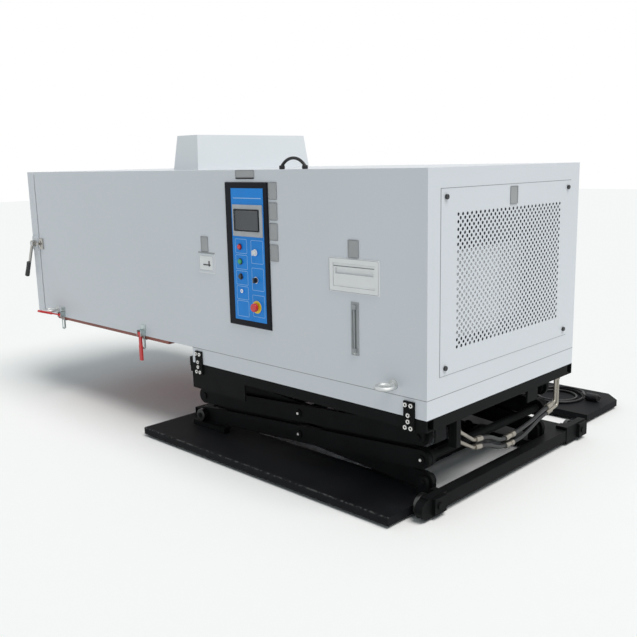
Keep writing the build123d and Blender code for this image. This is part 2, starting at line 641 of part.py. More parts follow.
def top_frame():
    """Welded frame of square tube that the cabinet sits on."""
    front = tube_x(OVERHANG, BODY_RIGHT, 0)
    frame = front + mirror_rear(front)
    side = top_lift_side()
    frame += side + mirror_rear(side)
    frame += tube_y(OVERHANG, TUBE, BODY_D - TUBE) + tube_y(BODY_RIGHT - TUBE, TUBE, BODY_D - TUBE)
    frame += tube_y(CENTRE_X - TUBE / 2, TUBE, BODY_D - TUBE)
    for y0, y1 in HANGERS_Y:
        frame += block(BODY_RIGHT - 14, BODY_RIGHT - 4, y0, y1, FRAME_Z - 60, FRAME_Z)
    return frame + block(*PORT_X, *PORT_Y, PORT_LOW, FRAME_Z)


def straps():
    """Bolted straps that tie the skirt to the top frame, each with six domed screws."""
    solids = []
    z_top = BODY_Z - STRAP_TOP
    for x in STRAP_X:
        plate = block(x - STRAP_W / 2, x + STRAP_W / 2, -STRAP_T, 0, z_top - STRAP_H, z_top)
        solids.append(plate)
        for dx, dz in STRAP_BOLTS:
            solids.append(rod_y(-STRAP_T - 6, -STRAP_T, x + dx, z_top - dz, STRAP_BOLT_R))
    return solids + [mirror_rear(s) for s in solids]


def skirt():
    """White sheet tray under the machine half of the cabinet."""
    return hollow((OVERHANG, BODY_RIGHT, 0, BODY_D, FRAME_Z + TUBE, BODY_Z), SKIRT_T, ("bottom",))


# Hoses and cable
def largest_radii(points):
    """The largest arc at each corner that its two runs allow."""
    radii = []
    for a, b, c in zip(points, points[1:], points[2:]):
        one, two = b - a, c - b
        half = math.radians(one.get_angle(two)) / 2
        radii.append(CORNER_SHARE * min(one.length, two.length) / math.tan(half))
    return radii


def cord(points, radius):
    """Round cord through straight runs joined by tangent arcs."""
    corners = [Vector(*p) for p in points]
    radii = largest_radii(corners)
    print("radii", [round(r) for r in radii], "length", end=" ")
    path = FilletPolyline(*corners, radius=radii)
    print(round(path.length))
    start = Plane(origin=corners[0], z_dir=corners[1] - corners[0])
    return sweep(start * Circle(radius), path=path)


def hose(route):
    """Hydraulic hose in the plane of the fittings."""
    return cord([(HOSE_X, y, z) for y, z in route], HOSE_R)


def crimp(end, inner):
    """Crimped sleeve that carries on from a hose's end, and the point where its pipe starts."""
    tip, back = Vector(HOSE_X, *end), Vector(HOSE_X, *inner)
    way = (tip - back).normalized()
    ring = extrude(Plane(origin=tip, z_dir=way) * Circle(CRIMP_R), CRIMP_L)
    return ring, tip + way * CRIMP_L, way


def pipe(points, radius):
    """Bent steel pipe with one bend at each middle point."""
    path = FilletPolyline(*points, radius=radius)
    return sweep(Plane(origin=points[0], z_dir=points[1] - points[0]) * Circle(FITTING_R), path=path)


def front_elbow(route, port_z):
    """Sleeve and slanting pipe up to the port block at the front."""
    ring, start, way = crimp(route[0], route[1])
    port = Vector(HOSE_X, PORT_Y[1], port_z)
    bend = start + way * 14
    nut = rod_y(PORT_Y[1], PORT_Y[1] + 16, HOSE_X, port_z, CRIMP_R - 1)
    return ring + pipe([start - way * 2, bend, port + Vector(0, 6, 0)], 20) + nut


def rear_elbow(route, riser_y):
    """Sleeve and pipe that turns up to the underside of the top frame at the rear."""
    ring, start, way = crimp(route[-1], route[-2])
    top = Vector(HOSE_X, riser_y, FRAME_Z)
    bend = Vector(HOSE_X, riser_y, start.Z + (riser_y - start.Y) * way.Z / way.Y)
    nut = rod_z(FRAME_Z - 16, FRAME_Z, HOSE_X, riser_y, CRIMP_R - 2.5)
    return ring + pipe([start - way * 2, bend, top], 18) + nut


def union(route):
    """Hollow union round the straight part of a hose's middle run."""
    corners = [Vector(HOSE_X, *p) for p in route]
    runs = [b - a for a, b in zip(corners, corners[1:])]
    longest = max(range(len(runs)), key=lambda k: runs[k].length)
    here, before, after = runs[longest], runs[longest - 1], runs[longest + 1]
    start = CORNER_SHARE * min(before.length, here.length) + 1
    length = here.length - start - CORNER_SHARE * min(after.length, here.length) - 1
    plane = Plane(origin=corners[longest] + here.normalized() * start, z_dir=here)
    wide = Circle(CRIMP_R + 1) - Circle(HOSE_R + SEAT)
    neck = Circle(CRIMP_R - 1) - Circle(HOSE_R + SEAT)
    third = length / 3
    ends = extrude(plane * wide, third) + extrude(plane.offset(2 * third) * wide, third)
    return ends + extrude(plane.offset(third) * neck, third)


def hose_fittings():
    """Pipes with crimped sleeves at both ends of the hoses, and the unions in their middle."""
    solids = [front_elbow(UPPER_HOSE, PORT_UPPER_Z), front_elbow(LOWER_HOSE, PORT_LOWER_Z)]
    solids += [rear_elbow(UPPER_HOSE, RISER_Y[0]), rear_elbow(LOWER_HOSE, RISER_Y[1])]
    return solids + [union(UPPER_HOSE), union(LOWER_HOSE)]


def cable_lead():
    """Cable from its gland to the loose turns."""
    x, y = GLAND_POS
    return cord([(x + dx, y + dy, z) for dx, dy, z in CABLE_DROP], CABLE_R)


def cable_coil():
    """Outer shape of the loose turns that lie on the rear plate."""
    x, y = COIL_POS
    ring = rod_z(PLATE_TOP + SEAT, PLATE_TOP + COIL_H, x, y, COIL_OUT_R)
    return ring - rod_z(PLATE_TOP, PLATE_TOP + COIL_H + 1, x, y, COIL_IN_R)


def cable_plug():
    """Round plug at the end of the cable, lying beside the coil."""
    x, y = COIL_POS
    z = PLATE_TOP + PLUG_R + SEAT
    x0 = x + COIL_OUT_R
    body = rod_x(x0, x0 + PLUG_L, y + 40, z, PLUG_R)
    tips = (x0 + PLUG_L, x0 + PLUG_L + 16)
    pins = [rod_x(*tips, y + 40 + dy, z + dz, 3) for dy, dz in ((-8, 0), (8, 0), (0, 9))]
    return body + pins[0] + pins[1] + pins[2]


# Cabinet
def floor_strips(z0, z1, x0, x1, y0, y1):
    """A floor round the bottom opening, as four strips."""
    hole_y = (HOLE_MARGIN_Y, BODY_D - HOLE_MARGIN_Y)
    return [block(x0, HOLE_X[0], y0, y1, z0, z1), block(HOLE_X[1], x1, y0, y1, z0, z1),
            block(HOLE_X[0], HOLE_X[1], y0, hole_y[0], z0, z1),
            block(HOLE_X[0], HOLE_X[1], hole_y[1], y1, z0, z1)]


def front_panel():
    """Front sheet with the cut-outs for the control box, the flap and the water drawer."""
    z = BODY_Z
    sheet = block(BODY_LEFT, BODY_RIGHT, 0, SHEET, z, BODY_TOP)
    cuts = ((BEZEL_X, BEZEL_Z, 12), (FLAP_X, FLAP_Z, FLAP_RIM), (DRAWER_X, DRAWER_Z, 8))
    for (x0, x1), (z0, z1), inset in cuts:
        sheet -= block(x0 + inset, x1 - inset, -1, SHEET + 1, z + z0 + inset, z + z1 - inset)
    x0, x1 = FLAP_X
    z0, z1 = z + FLAP_Z[0], z + FLAP_Z[1]
    rim = block(x0, x1, -6, 0, z0, z1)
    sheet += rim - block(x0 + FLAP_RIM, x1 - FLAP_RIM, -7, 1, z0 + FLAP_RIM, z1 - FLAP_RIM)
    sheet -= rod_x(x0 + FLAP_RIM - 5, x1 - FLAP_RIM + 5, FLAP_AXIS_Y, z1 - FLAP_RIM - FLAP_AXIS_DROP,
                   FLAP_PIN_R + RUN)
    pocket = hollow((x0 + FLAP_RIM - 2, x1 - FLAP_RIM + 2, SHEET, 60, z0 + FLAP_RIM - 2, z1 - FLAP_RIM + 2), 2,
                    ("front",))
    return sheet + pocket


def cabinet_shell():
    """Outer sheets: front, rear, roof, floor strips, bulkhead and the frame of the right end."""
    z = BODY_Z
    y0, y1 = SHEET, BODY_D - SHEET
    rear = block(BODY_LEFT, BODY_RIGHT, y1, BODY_D, z, BODY_TOP)
    roof = block(BODY_LEFT, BODY_RIGHT, y0, y1, BODY_TOP - SHEET, BODY_TOP)
    roof -= rod_z(BODY_TOP - SHEET - 1, BODY_TOP + 1, HOOD_X, MID_Y, SHAFT_R + 4)
    strips = floor_strips(z, z + SHEET, BODY_LEFT, BODY_RIGHT, y0, y1)
    bulkhead = block(OVERHANG, OVERHANG + SHEET, y0, y1, z + SHEET, BODY_TOP - SHEET)
    end = block(BODY_RIGHT - SHEET, BODY_RIGHT, y0, y1, z + SHEET, BODY_TOP - SHEET)
    opening = block(BODY_RIGHT - SHEET - 1, BODY_RIGHT + 1, SIDE_Y[0] + 40, SIDE_Y[1] - 40,
                    z + SIDE_Z[0] + 40, z + SIDE_Z[1] - 40)
    return [front_panel(), rear, roof, *strips, bulkhead, end - opening]


def insulation():
    """Foam slabs of the test space: front, rear, roof, right end, and four strips in the floor."""
    z0, z1 = BODY_Z + SHEET, BODY_TOP - SHEET
    x0, x1 = BODY_LEFT + SHEET, OVERHANG
    y0, y1 = SHEET, BODY_D - SHEET
    low, high = BODY_Z + WALL, BODY_TOP - WALL
    front = block(x0, x1, y0, WALL, z0, z1)
    rear = block(x0, x1, BODY_D - WALL, y1, z0, z1)
    roof = block(x0, x1, WALL, BODY_D - WALL, high, z1)
    roof -= rod_z(high - 1, z1 + 1, HOOD_X, MID_Y, SHAFT_R + 4)
    end = block(SPACE_RIGHT + LINER, x1, WALL, BODY_D - WALL, low, high)
    return [front, rear, roof, end, *floor_strips(z0, low, x0, x1, WALL, BODY_D - WALL)]


def cabinet_liner():
    """Stainless liner of the test space and the air baffle in front of the plenum."""
    x0, x1 = BODY_LEFT, SPACE_RIGHT + LINER
    y0, y1 = WALL, BODY_D - WALL
    z0, z1 = BODY_Z + WALL, BODY_TOP - WALL
    liner = hollow((x0, x1, y0, y1, z0, z1), LINER, ("left",))
    liner -= block(HOLE_X[0], HOLE_X[1], HOLE_MARGIN_Y, BODY_D - HOLE_MARGIN_Y, z0 - 1, z0 + LINER + 1)
    liner -= rod_z(z1 - LINER - 1, z1 + 1, HOOD_X, MID_Y, SHAFT_R + 4)
    liner += block(BAFFLE_X, BAFFLE_X + LINER, y0 + LINER, y1 - LINER, z0 + BAFFLE_GAP, z1 - BAFFLE_GAP)
    flange = block(x0, x0 + SHEET, SHEET, BODY_D - SHEET, BODY_Z + SHEET, BODY_TOP - SHEET)
    flange -= block(x0 - 1, x0 + SHEET + 1, y0 + LINER, y1 - LINER, z0 + LINER, z1 - LINER)
    return liner + flange


def floor_board():
    """Brown board with a plug that fills the bottom opening."""
    z1 = BODY_Z
    board = block(BOARD_X[0], BOARD_X[1], BOARD_Y, BODY_D - BOARD_Y, z1 - BOARD_T, z1)
    inset = HOLE_MARGIN_Y + PLUG_CLEAR
    plug = block(HOLE_X[0] + PLUG_CLEAR, HOLE_X[1] - PLUG_CLEAR, inset, BODY_D - inset, z1, z1 + PLUG_H)
    return board + plug


def door_shell():
    """Sheet steel door leaf with its hinge leaves and knuckles."""
    leaf = hollow((0, DOOR_T, 0, BODY_D, BODY_Z, BODY_TOP), SHEET)
    y = BODY_D + HINGE_OUT
    for level in HINGE_LEVELS:
        z = BODY_Z + level
        knuckle = rod_z(z + 1, z + HINGE_H / 2, HINGE_X, y, HINGE_KNUCKLE_R)
        plate = block(DOOR_T - LEAF_W, HINGE_X - 4, BODY_D, BODY_D + LEAF_T, z + 1, z + HINGE_H / 2)
        web = block(HINGE_X - HINGE_KNUCKLE_R, HINGE_X - 4, BODY_D, y, z + 1, z + HINGE_H / 2)
        leaf += knuckle + plate + web
        leaf -= rod_z(z - 1, z + HINGE_H / 2 + 1, HINGE_X, y, HINGE_PIN_R + RUN)
    base = block(LATCH_X - 32, LATCH_X + 32, -8, 0, BODY_Z + LATCH_Z - 46, BODY_Z + LATCH_Z + 46)
    base = fillet(base.edges().filter_by(Axis.Y), 14)
    stud = rod_y(-8 - LATCH_HUB_L, -7, LATCH_X, BODY_Z + LATCH_Z, 9)
    return leaf + base + stud


def door_gasket():
    """Rubber ring between the door and the cabinet."""
    g = GASKET_INSET
    ring = block(DOOR_T, BODY_LEFT, g, BODY_D - g, BODY_Z + g, BODY_TOP - g)
    g += GASKET_W
    return ring - block(DOOR_T - 1, BODY_LEFT + 1, g, BODY_D - g, BODY_Z + g, BODY_TOP - g)


def door_hardware():
    """On the cabinet: hinge leaves with their pins, and the latch's keeper."""
    solids = []
    y = BODY_D + HINGE_OUT
    for level in HINGE_LEVELS:
        z = BODY_Z + level
        piece = rod_z(z - HINGE_H / 2, z, HINGE_X, y, HINGE_KNUCKLE_R)
        piece += block(HINGE_X + 4, HINGE_X + HINGE_KNUCKLE_R, BODY_D + 0.0, y, z - HINGE_H / 2, z)
        piece += block(HINGE_X + 7, BODY_LEFT + LEAF_W, BODY_D, BODY_D + LEAF_T, z - HINGE_H / 2, z)
        piece += rod_z(z - HINGE_H / 2, z + HINGE_H / 2, HINGE_X, y, HINGE_PIN_R)
        solids.append(piece)
    z = BODY_Z + LATCH_Z
    keeper = block(BODY_LEFT + 4, BODY_LEFT + 48, -8, 0, z - 34, z + 34)
    keeper += block(BODY_LEFT + 4, BODY_LEFT + 22, LEVER_TOOTH_Y + 11, -7, z - 18, z + 18)
    solids.append(keeper)
    return solids


def latch_lever():
    """Latch lever: a hub on the stud, a flat arm and a black grip."""
    z = BODY_Z + LATCH_Z
    y0 = -8 - LATCH_HUB_L + 2
    hub = rod_y(y0, -8 - SEAT, 0, 0, LATCH_HUB_R)
    bar = block(-10, 10, y0, y0 + LEVER_T, -LEVER_L, 0)
    tooth = block(0, LATCH_REACH, LEVER_TOOTH_Y, LEVER_TOOTH_Y + 10, -7, 7)
    grip = rod_z(-LEVER_L - 40, -LEVER_L + 50, 0, y0 - 6 + LEVER_T / 2, 12)
    grip = fillet(grip.edges(), 5)
    lever = hub + bar + grip - rod_y(y0 - 1, 0, 0, 0, 9 + RUN)
    turned = Rot(0, LEVER_LEAN, 0) * lever
    return Pos(LATCH_X, 0, z) * (turned + (tooth - rod_y(-40, 0, 0, 0, 9 + RUN)))


# Front face pieces
def control_bezel():
    """Black surround of the control box, with the sheet box behind it."""
    x0, x1 = BEZEL_X
    z0, z1 = BODY_Z + BEZEL_Z[0], BODY_Z + BEZEL_Z[1]
    ring = block(x0, x1, -BEZEL_T, 0, z0, z1)
    ring = chamfer(ring.edges().group_by(Axis.Y)[0], 4)
    ring -= block(FASCIA_X[0], FASCIA_X[1], -BEZEL_T - 1, 1, BODY_Z + FASCIA_Z[0], BODY_Z + FASCIA_Z[1])
    box = hollow((x0 + 12, x1 - 12, 0, BEZEL_BOX_D, z0 + 12, z1 - 12), 2, ("front",))
    return ring + box


def control_fascia():
    """Blue control plate with holes for the touch panel and the switches, and their collars."""
    y0 = -BEZEL_T - 1
    z = BODY_Z
    plate = block(FASCIA_X[0], FASCIA_X[1], y0, y0 + FASCIA_T, z + FASCIA_Z[0], z + FASCIA_Z[1])
    plate -= block(PANEL_X[0] + 6, PANEL_X[1] - 6, y0 - 1, 0, z + PANEL_Z[0] + 6, z + PANEL_Z[1] - 6)
    back = block(FASCIA_X[0], FASCIA_X[1], y0 + FASCIA_T, 8, z + FASCIA_Z[0], z + PANEL_Z[0] - 6)
    plate += back
    spots = [(BUTTON_X, bz) for bz in BUTTON_Z] + [(SWITCH_X, sz) for sz in SWITCH_Z]
    for x, dz in spots:
        plate += rod_y(y0 - 3, y0 + 1, x, z + dz, BUTTON_RING_R)
        plate -= rod_y(y0 - 4, 9, x, z + dz, BUTTON_R + SEAT)
    plate += rod_y(y0 - 3, y0 + 1, SWITCH_X, z + STOP_Z, STOP_PLATE_R)
    plate -= rod_y(y0 - 4, 9, SWITCH_X, z + STOP_Z, 8 + SEAT)
    plate += rod_y(y0 - 4, y0 + 1, BUTTON_X + 4, z + KEY_Z, 9)
    return plate


def touch_panel():
    """Operator panel: a bezel on the fascia and a body behind it."""
    y0 = -BEZEL_T - 1
    z = BODY_Z
    face = block(PANEL_X[0], PANEL_X[1], y0 - PANEL_T, y0, z + PANEL_Z[0], z + PANEL_Z[1])
    face = chamfer(face.edges().group_by(Axis.Y)[0], 2)
    face -= block(PANEL_X[0] + 12, PANEL_X[1] - 16, y0 - PANEL_T - 1, y0 - PANEL_T + 1.5, z + PANEL_Z[0] + 24,
                  z + PANEL_Z[1] - 20)
    return face + block(PANEL_X[0] + 8, PANEL_X[1] - 8, y0, PANEL_BODY_D, z + PANEL_Z[0] + 8,
                        z + PANEL_Z[1] - 8)


def push_button(dz):
    """Round button with a domed edge on a plunger."""
    y0 = -BEZEL_T - 1 - BUTTON_OUT
    cap = rod_y(y0, 30, BUTTON_X, BODY_Z + dz, BUTTON_R)
    return chamfer(cap.edges().sort_by(Axis.Y)[0], 1.5)


def rotary_switch(dz):
    """Round selector with a raised bar."""
    y0 = -BEZEL_T - 1
    body = rod_y(y0 - 8, 30, SWITCH_X, BODY_Z + dz, BUTTON_R)
    body += rod_y(y0 - 10, y0 - 3 - SEAT, SWITCH_X, BODY_Z + dz, SWITCH_R + 1)
    bar = block(SWITCH_X - 4, SWITCH_X + 4, y0 - 22, y0 - 9, BODY_Z + dz - SWITCH_R, BODY_Z + dz + SWITCH_R)
    return body + fillet(bar.edges().filter_by(Axis.Y), 3)


def stop_button():
    """Mushroom stop button."""
    y0 = -BEZEL_T - 1
    head = rod_y(y0 - 30, y0 - 14, SWITCH_X, BODY_Z + STOP_Z, STOP_R)
    head = fillet(head.edges().sort_by(Axis.Y)[0], 6)
    neck = rod_y(y0 - 15, 30, SWITCH_X, BODY_Z + STOP_Z, 8)
    return head + neck


def service_flap():
    """Small flap over the breaker pocket, hinged on its upper edge."""
    x0, x1 = FLAP_X[0] + FLAP_RIM, FLAP_X[1] - FLAP_RIM
    z0, z1 = BODY_Z + FLAP_Z[0] + FLAP_RIM, BODY_Z + FLAP_Z[1] - FLAP_RIM
    gap = 1.0
    leaf = block(x0 + gap, x1 - gap, -5, -5 + FLAP_T, z0 + gap, z1 - gap)
    roll = rod_x(x0 + gap, x1 - gap, FLAP_AXIS_Y, z1 - FLAP_AXIS_DROP, 2.6)
    return leaf + roll + rod_x(x0 - 4, x1 + 4, FLAP_AXIS_Y, z1 - FLAP_AXIS_DROP, FLAP_PIN_R)


def drawer_frame():
    """Bezel of the water drawer and the sheet sleeve that guides it."""
    x0, x1 = DRAWER_X
    z0, z1 = BODY_Z + DRAWER_Z[0], BODY_Z + DRAWER_Z[1]
    ring = block(x0, x1, -5, 0, z0, z1)
    ring = chamfer(ring.edges().group_by(Axis.Y)[0], 2)
    r = DRAWER_RIM
    ring -= block(x0 + r, x1 - r, -6, 1, z0 + r, z1 - r)
    s = 8
    sleeve_box = hollow((x0 + s, x1 - s, 0, DRAWER_D + 12, z0 + s, z1 - s), 2, ("front",))
    rail = block(x0 + s + 2, x0 + r, SHEET, DRAWER_D, z0 + s + 2, z0 + r - SEAT)
    other = block(x1 - r, x1 - s - 2, SHEET, DRAWER_D, z0 + s + 2, z0 + r - SEAT)
    return ring + sleeve_box + rail + other


def drawer_tray():
    """Pull-out water tray: an open box behind a front with a finger recess."""
    r = DRAWER_RIM
    x0, x1 = DRAWER_X[0] + r + 1, DRAWER_X[1] - r - 1
    z0, z1 = BODY_Z + DRAWER_Z[0] + r + 0.3, BODY_Z + DRAWER_Z[1] - r - 1
    box = block(x0, x1, 10, DRAWER_D, z0, z1) - block(
        x0 + DRAWER_WALL, x1 - DRAWER_WALL, 10 + DRAWER_WALL, DRAWER_D - DRAWER_WALL, z0 + DRAWER_WALL, z1 + 1)
    front = block(x0, x1, -2, 10, z0, z1)
    front -= block(x0 + 8, x1 - 8, -3, 7, z1 - 44, z1 - 18)
    shoe_y = (DRAWER_TRAVEL + SHOE_INSET, DRAWER_D - 10)
    shoe = block(x0 - 8, x0, *shoe_y, z0, z0 + 12)
    other = block(x1, x1 + 8, *shoe_y, z0, z0 + 12)
    return box + front + shoe + other


def level_gauge():
    """Water level gauge: a slim channel plate with a sight tube between two low blocks."""
    z0, z1 = BODY_Z + GAUGE_Z[0], BODY_Z + GAUGE_Z[1]
    half = GAUGE_W / 2
    plate = block(GAUGE_X - half, GAUGE_X + half, -5, 0, z0, z1)
    plate = chamfer(plate.edges().group_by(Axis.Y)[0], 2)
    plate -= block(GAUGE_X - 11, GAUGE_X + 11, -6, -2, z0 + 12, z1 - 12)
    blocks = block(GAUGE_X - 11, GAUGE_X + 11, -12, -1, z0 + 12, z0 + 30)
    blocks += block(GAUGE_X - 11, GAUGE_X + 11, -12, -1, z1 - 30, z1 - 12)
    return plate + blocks + rod_z(z0 + 29, z1 - 29, GAUGE_X, -7, 4)


# Right end
def side_panel():
    """Ventilated panel with staggered holes, and the four knobs that hold it."""
    y0, y1 = SIDE_Y
    z0, z1 = BODY_Z + SIDE_Z[0], BODY_Z + SIDE_Z[1]
    x = BODY_RIGHT
    sheet = block(x, x + SIDE_T, y0, y1, z0, z1)
    columns = int((PERF_Y[1] - PERF_Y[0]) / PERF_PITCH)
    rows = int((PERF_Z[1] - PERF_Z[0]) / (PERF_PITCH / 2))
    start_y = (PERF_Y[0] + PERF_Y[1]) / 2 - (columns - 1) * PERF_PITCH / 2
    start_z = (PERF_Z[0] + PERF_Z[1]) / 2 - (rows - 1) * PERF_PITCH / 4
    places = []
    for row in range(rows):
        odd = row % 2
        for column in range(columns - odd):
            places.append((start_y + (column + odd / 2) * PERF_PITCH, BODY_Z + start_z + row * PERF_PITCH / 2))
    hexes = Plane.YZ.offset(x - 1) * Sketch([Pos(a, b) * RegularPolygon(PERF_R, 6) for a, b in places])
    sheet -= extrude(hexes, SIDE_T + 2)
    solids = [sheet]
    for y in (y0 + KNOB_INSET, y1 - KNOB_INSET):
        for z in (z0 + KNOB_INSET, z1 - KNOB_INSET):
            solids.append(rod_x(x + SIDE_T, x + SIDE_T + KNOB_T, y, z, KNOB_R))
    return solids


# Roof
def roof_housing():
    """Tapered sheet hood over the fan motor."""
    y0, y1 = MID_Y - HOOD_L / 2, MID_Y + HOOD_L / 2

    def hood(inset, z_low, z_high):
        low = Pos(HOOD_X, MID_Y, z_low) * Rectangle(HOOD_W - 2 * inset, HOOD_L - 2 * inset)
        top = Pos(HOOD_X, MID_Y, z_high) * Rectangle(
            HOOD_W - 2 * HOOD_TAPER - 2 * inset, HOOD_L - 2 * HOOD_TAPER - 2 * inset)
        return loft([low.face(), top.face()])

    inside = hood(HOOD_SHEET, BODY_TOP - 1, BODY_TOP + HOOD_H - HOOD_SHEET)
    return hood(0, BODY_TOP, BODY_TOP + HOOD_H) - inside


def roof_handle():
    """Bow handle on two round feet."""
    z = BODY_TOP
    x0, x1 = GRIP_X - GRIP_SPAN / 2, GRIP_X + GRIP_SPAN / 2
    route = [Vector(x0, GRIP_Y, z + 4), Vector(x0, GRIP_Y, z + GRIP_H), Vector(x1, GRIP_Y, z + GRIP_H),
             Vector(x1, GRIP_Y, z + 4)]
    path = FilletPolyline(*route, radius=24)
    bow = sweep(Plane(origin=route[0], z_dir=(0, 0, 1)) * Circle(GRIP_R), path=path)
    return bow + rod_z(z, z + 6, x0, GRIP_Y, 15) + rod_z(z, z + 6, x1, GRIP_Y, 15)


def eye_bolts():
    """Shouldered lifting eyes, two in front and two behind, their rings level."""
    solids = []
    for x in EYE_X:
        z = BODY_Z + EYE_Z
        ring = Pos(x, -EYE_OUT, z) * Torus(EYE_RING_R - EYE_WIRE_R, EYE_WIRE_R)
        eye = ring + rod_y(-EYE_OUT + EYE_RING_R - 10, 0, x, z, 11) + rod_y(-8, 0, x, z, 22)
        solids += both(eye)
    return solids


# Inside pieces
def fan_motor():
    """Circulation motor on the roof, with its foot plate and terminal box."""
    z = BODY_TOP
    foot = block(HOOD_X - 85, HOOD_X + 85, MID_Y - 85, MID_Y + 85, z, z + 6)
    body = rod_z(z + 6, z + 6 + MOTOR_H, HOOD_X, MID_Y, MOTOR_R)
    box = block(HOOD_X - 30, HOOD_X + 30, MID_Y + MOTOR_R - 12, MID_Y + MOTOR_R + 40, z + 40, z + 90)
    bore = rod_z(z - 1, z + 30, HOOD_X, MID_Y, SHAFT_R + RUN)
    return foot + body + box - bore


def circulation_fan():
    """Centrifugal wheel with curved blades on a long shaft from the motor."""
    top = BODY_TOP - WALL - LINER - 12
    z0 = top - FAN_H
    shaft = rod_z(top - 20, BODY_TOP + 28, HOOD_X, MID_Y, SHAFT_R)
    disc = rod_z(top - 4, top, HOOD_X, MID_Y, FAN_R)
    hub = rod_z(top - 30, top, HOOD_X, MID_Y, 24)
    wheel_body = disc + hub + shaft
    ring = rod_z(z0, z0 + 4, HOOD_X, MID_Y, FAN_R) - rod_z(z0 - 1, z0 + 5, HOOD_X, MID_Y, FAN_R - 42)
    wheel_body += ring
    for k in range(FAN_BLADES):
        turn = 360 / FAN_BLADES * k
        line = ThreePointArc((FAN_R - 44, 0), (FAN_R - 22, 14), (FAN_R - 2, 40))
        blade = extrude(trace(line, BLADE_T), FAN_H - 2)
        wheel_body += Pos(HOOD_X, MID_Y, z0 + 1) * Rot(0, 0, turn) * blade
    return wheel_body


def air_coils():
    """Finned evaporator on two end plates, with the heater rods above it."""
    x0, x1 = COIL_BLOCK_X
    y0, y1 = COIL_BLOCK_Y
    z0, z1 = BODY_Z + COIL_BLOCK_Z[0], BODY_Z + COIL_BLOCK_Z[1]
    step = (y1 - y0) / (FIN_COUNT - 1)
    tubes = None
    for x in (x0 + 35, x1 - 35):
        for z in (z0 + 60, (z0 + z1) / 2, z1 - 60):
            bar = rod_y(y0 - 12, y1 + 12, x, z, 8)
            tubes = bar if tubes is None else tubes + bar
    block_coil = tubes
    for k in range(FIN_COUNT):
        y = y0 + k * step
        block_coil += block(x0, x1, y - FIN_T / 2, y + FIN_T / 2, z0, z1)
    foot = BODY_Z + WALL + LINER
    for y in (y0, y1):
        block_coil += block(x0, x1, y - FIN_T, y + FIN_T, foot, z0 + 1)
    heater = []
    for k in range(3):
        z = z1 + 40 + 30 * k
        rod_one = rod_y(y0 - 7, y1 + 7, (x0 + x1) / 2, z, 6)
        heater.append(rod_one)
    frame = block((x0 + x1) / 2 - 10, (x0 + x1) / 2 + 10, y0 - 8, y0 - 2, z1 - 60, z1 + 120)
    frame += block((x0 + x1) / 2 - 10, (x0 + x1) / 2 + 10, y1 + 2, y1 + 8, z1 - 60, z1 + 120)
    for rod_one in heater:
        frame += rod_one
    return block_coil + frame


def compressors():
    """Two welded compressor cans on foot plates."""
    solids = []
    z = BODY_Z + SHEET
    for x in COMPRESSOR_X:
        can = rod_z(z + 24, z + 24 + COMPRESSOR_H, x, COMPRESSOR_Y, COMPRESSOR_R)
        can = fillet(can.edges(), 40)
        foot = block(x - 130, x + 130, COMPRESSOR_Y - 90, COMPRESSOR_Y + 90, z, z + 8)
        stem = rod_z(z + 7, z + 60, x, COMPRESSOR_Y, 40)
        solids.append(can + foot + stem)
    return solids


def condenser():
    """Condenser block on the right, with a shroud ring and motor bracket for its fan."""
    x0, x1 = CONDENSER_X
    y0, y1 = CONDENSER_Y
    z0, z1 = BODY_Z + SHEET, BODY_Z + CONDENSER_Z[1]
    yc, zc = (y0 + y1) / 2, (z0 + 57 + z1) / 2
    core = block(x0, x1, y0, y1, z0 + 57, z1) + block(x0, x1, y0, y0 + 10, z0, z0 + 60)
    core += block(x0, x1, y1 - 10, y1, z0, z0 + 60)
    shroud = block(x0 - 60, x0, y0, y1, z0 + 57, z1) - rod_x(x0 - 61, x0 + 1, yc, zc, COOL_FAN_R + 12)
    arm_bar = block(x0 - 66, x0 - 60, yc - 20, yc + 20, z0 + 57, z1)
    motor = rod_x(x0 - 120, x0 - 60, yc, zc, 42) - rod_x(x0 - 90, x0, yc, zc, 8 + RUN)
    return core + shroud + (arm_bar - rod_x(x0 - 90, x0, yc, zc, 8 + RUN)) + motor


def condenser_fan():
    """Axial fan with five pitched blades inside the shroud."""
    x0 = CONDENSER_X[0]
    y0, y1 = CONDENSER_Y
    z0, z1 = BODY_Z + SHEET, BODY_Z + CONDENSER_Z[1]
    yc, zc = (y0 + y1) / 2, (z0 + 57 + z1) / 2
    fan = rod_x(-14, 14, 0, 0, 38) + rod_x(-50, -10, 0, 0, 8)
    for k in range(COOL_FAN_BLADES):
        flat = Box(BLADE_THICK, BLADE_WIDE, BLADE_LONG)
        blade = Pos(0, 0, COOL_FAN_R - BLADE_LONG / 2) * Rot(0, 0, 28) * flat
        fan += Rot(360 / COOL_FAN_BLADES * k, 0, 0) * blade
    return Pos(x0 - 30, yc, zc) * fan


def humidifier_tank():
    """White humidifier tank on a stand behind the ventilated panel."""
    x0, x1 = TANK_X
    y0, y1 = TANK_Y
    z0, z1 = BODY_Z + TANK_Z[0], BODY_Z + TANK_Z[1]
    tank = hollow((x0, x1, y0, y1, z0, z1), 3)
    low = BODY_Z + SHEET
    legs = [block(x, x + 10, y, y + 30, low, z0) for x in (x0, x1 - 10) for y in (y0, y1 - 30)]
    whole = tank
    for leg in legs:
        whole += leg
    return whole


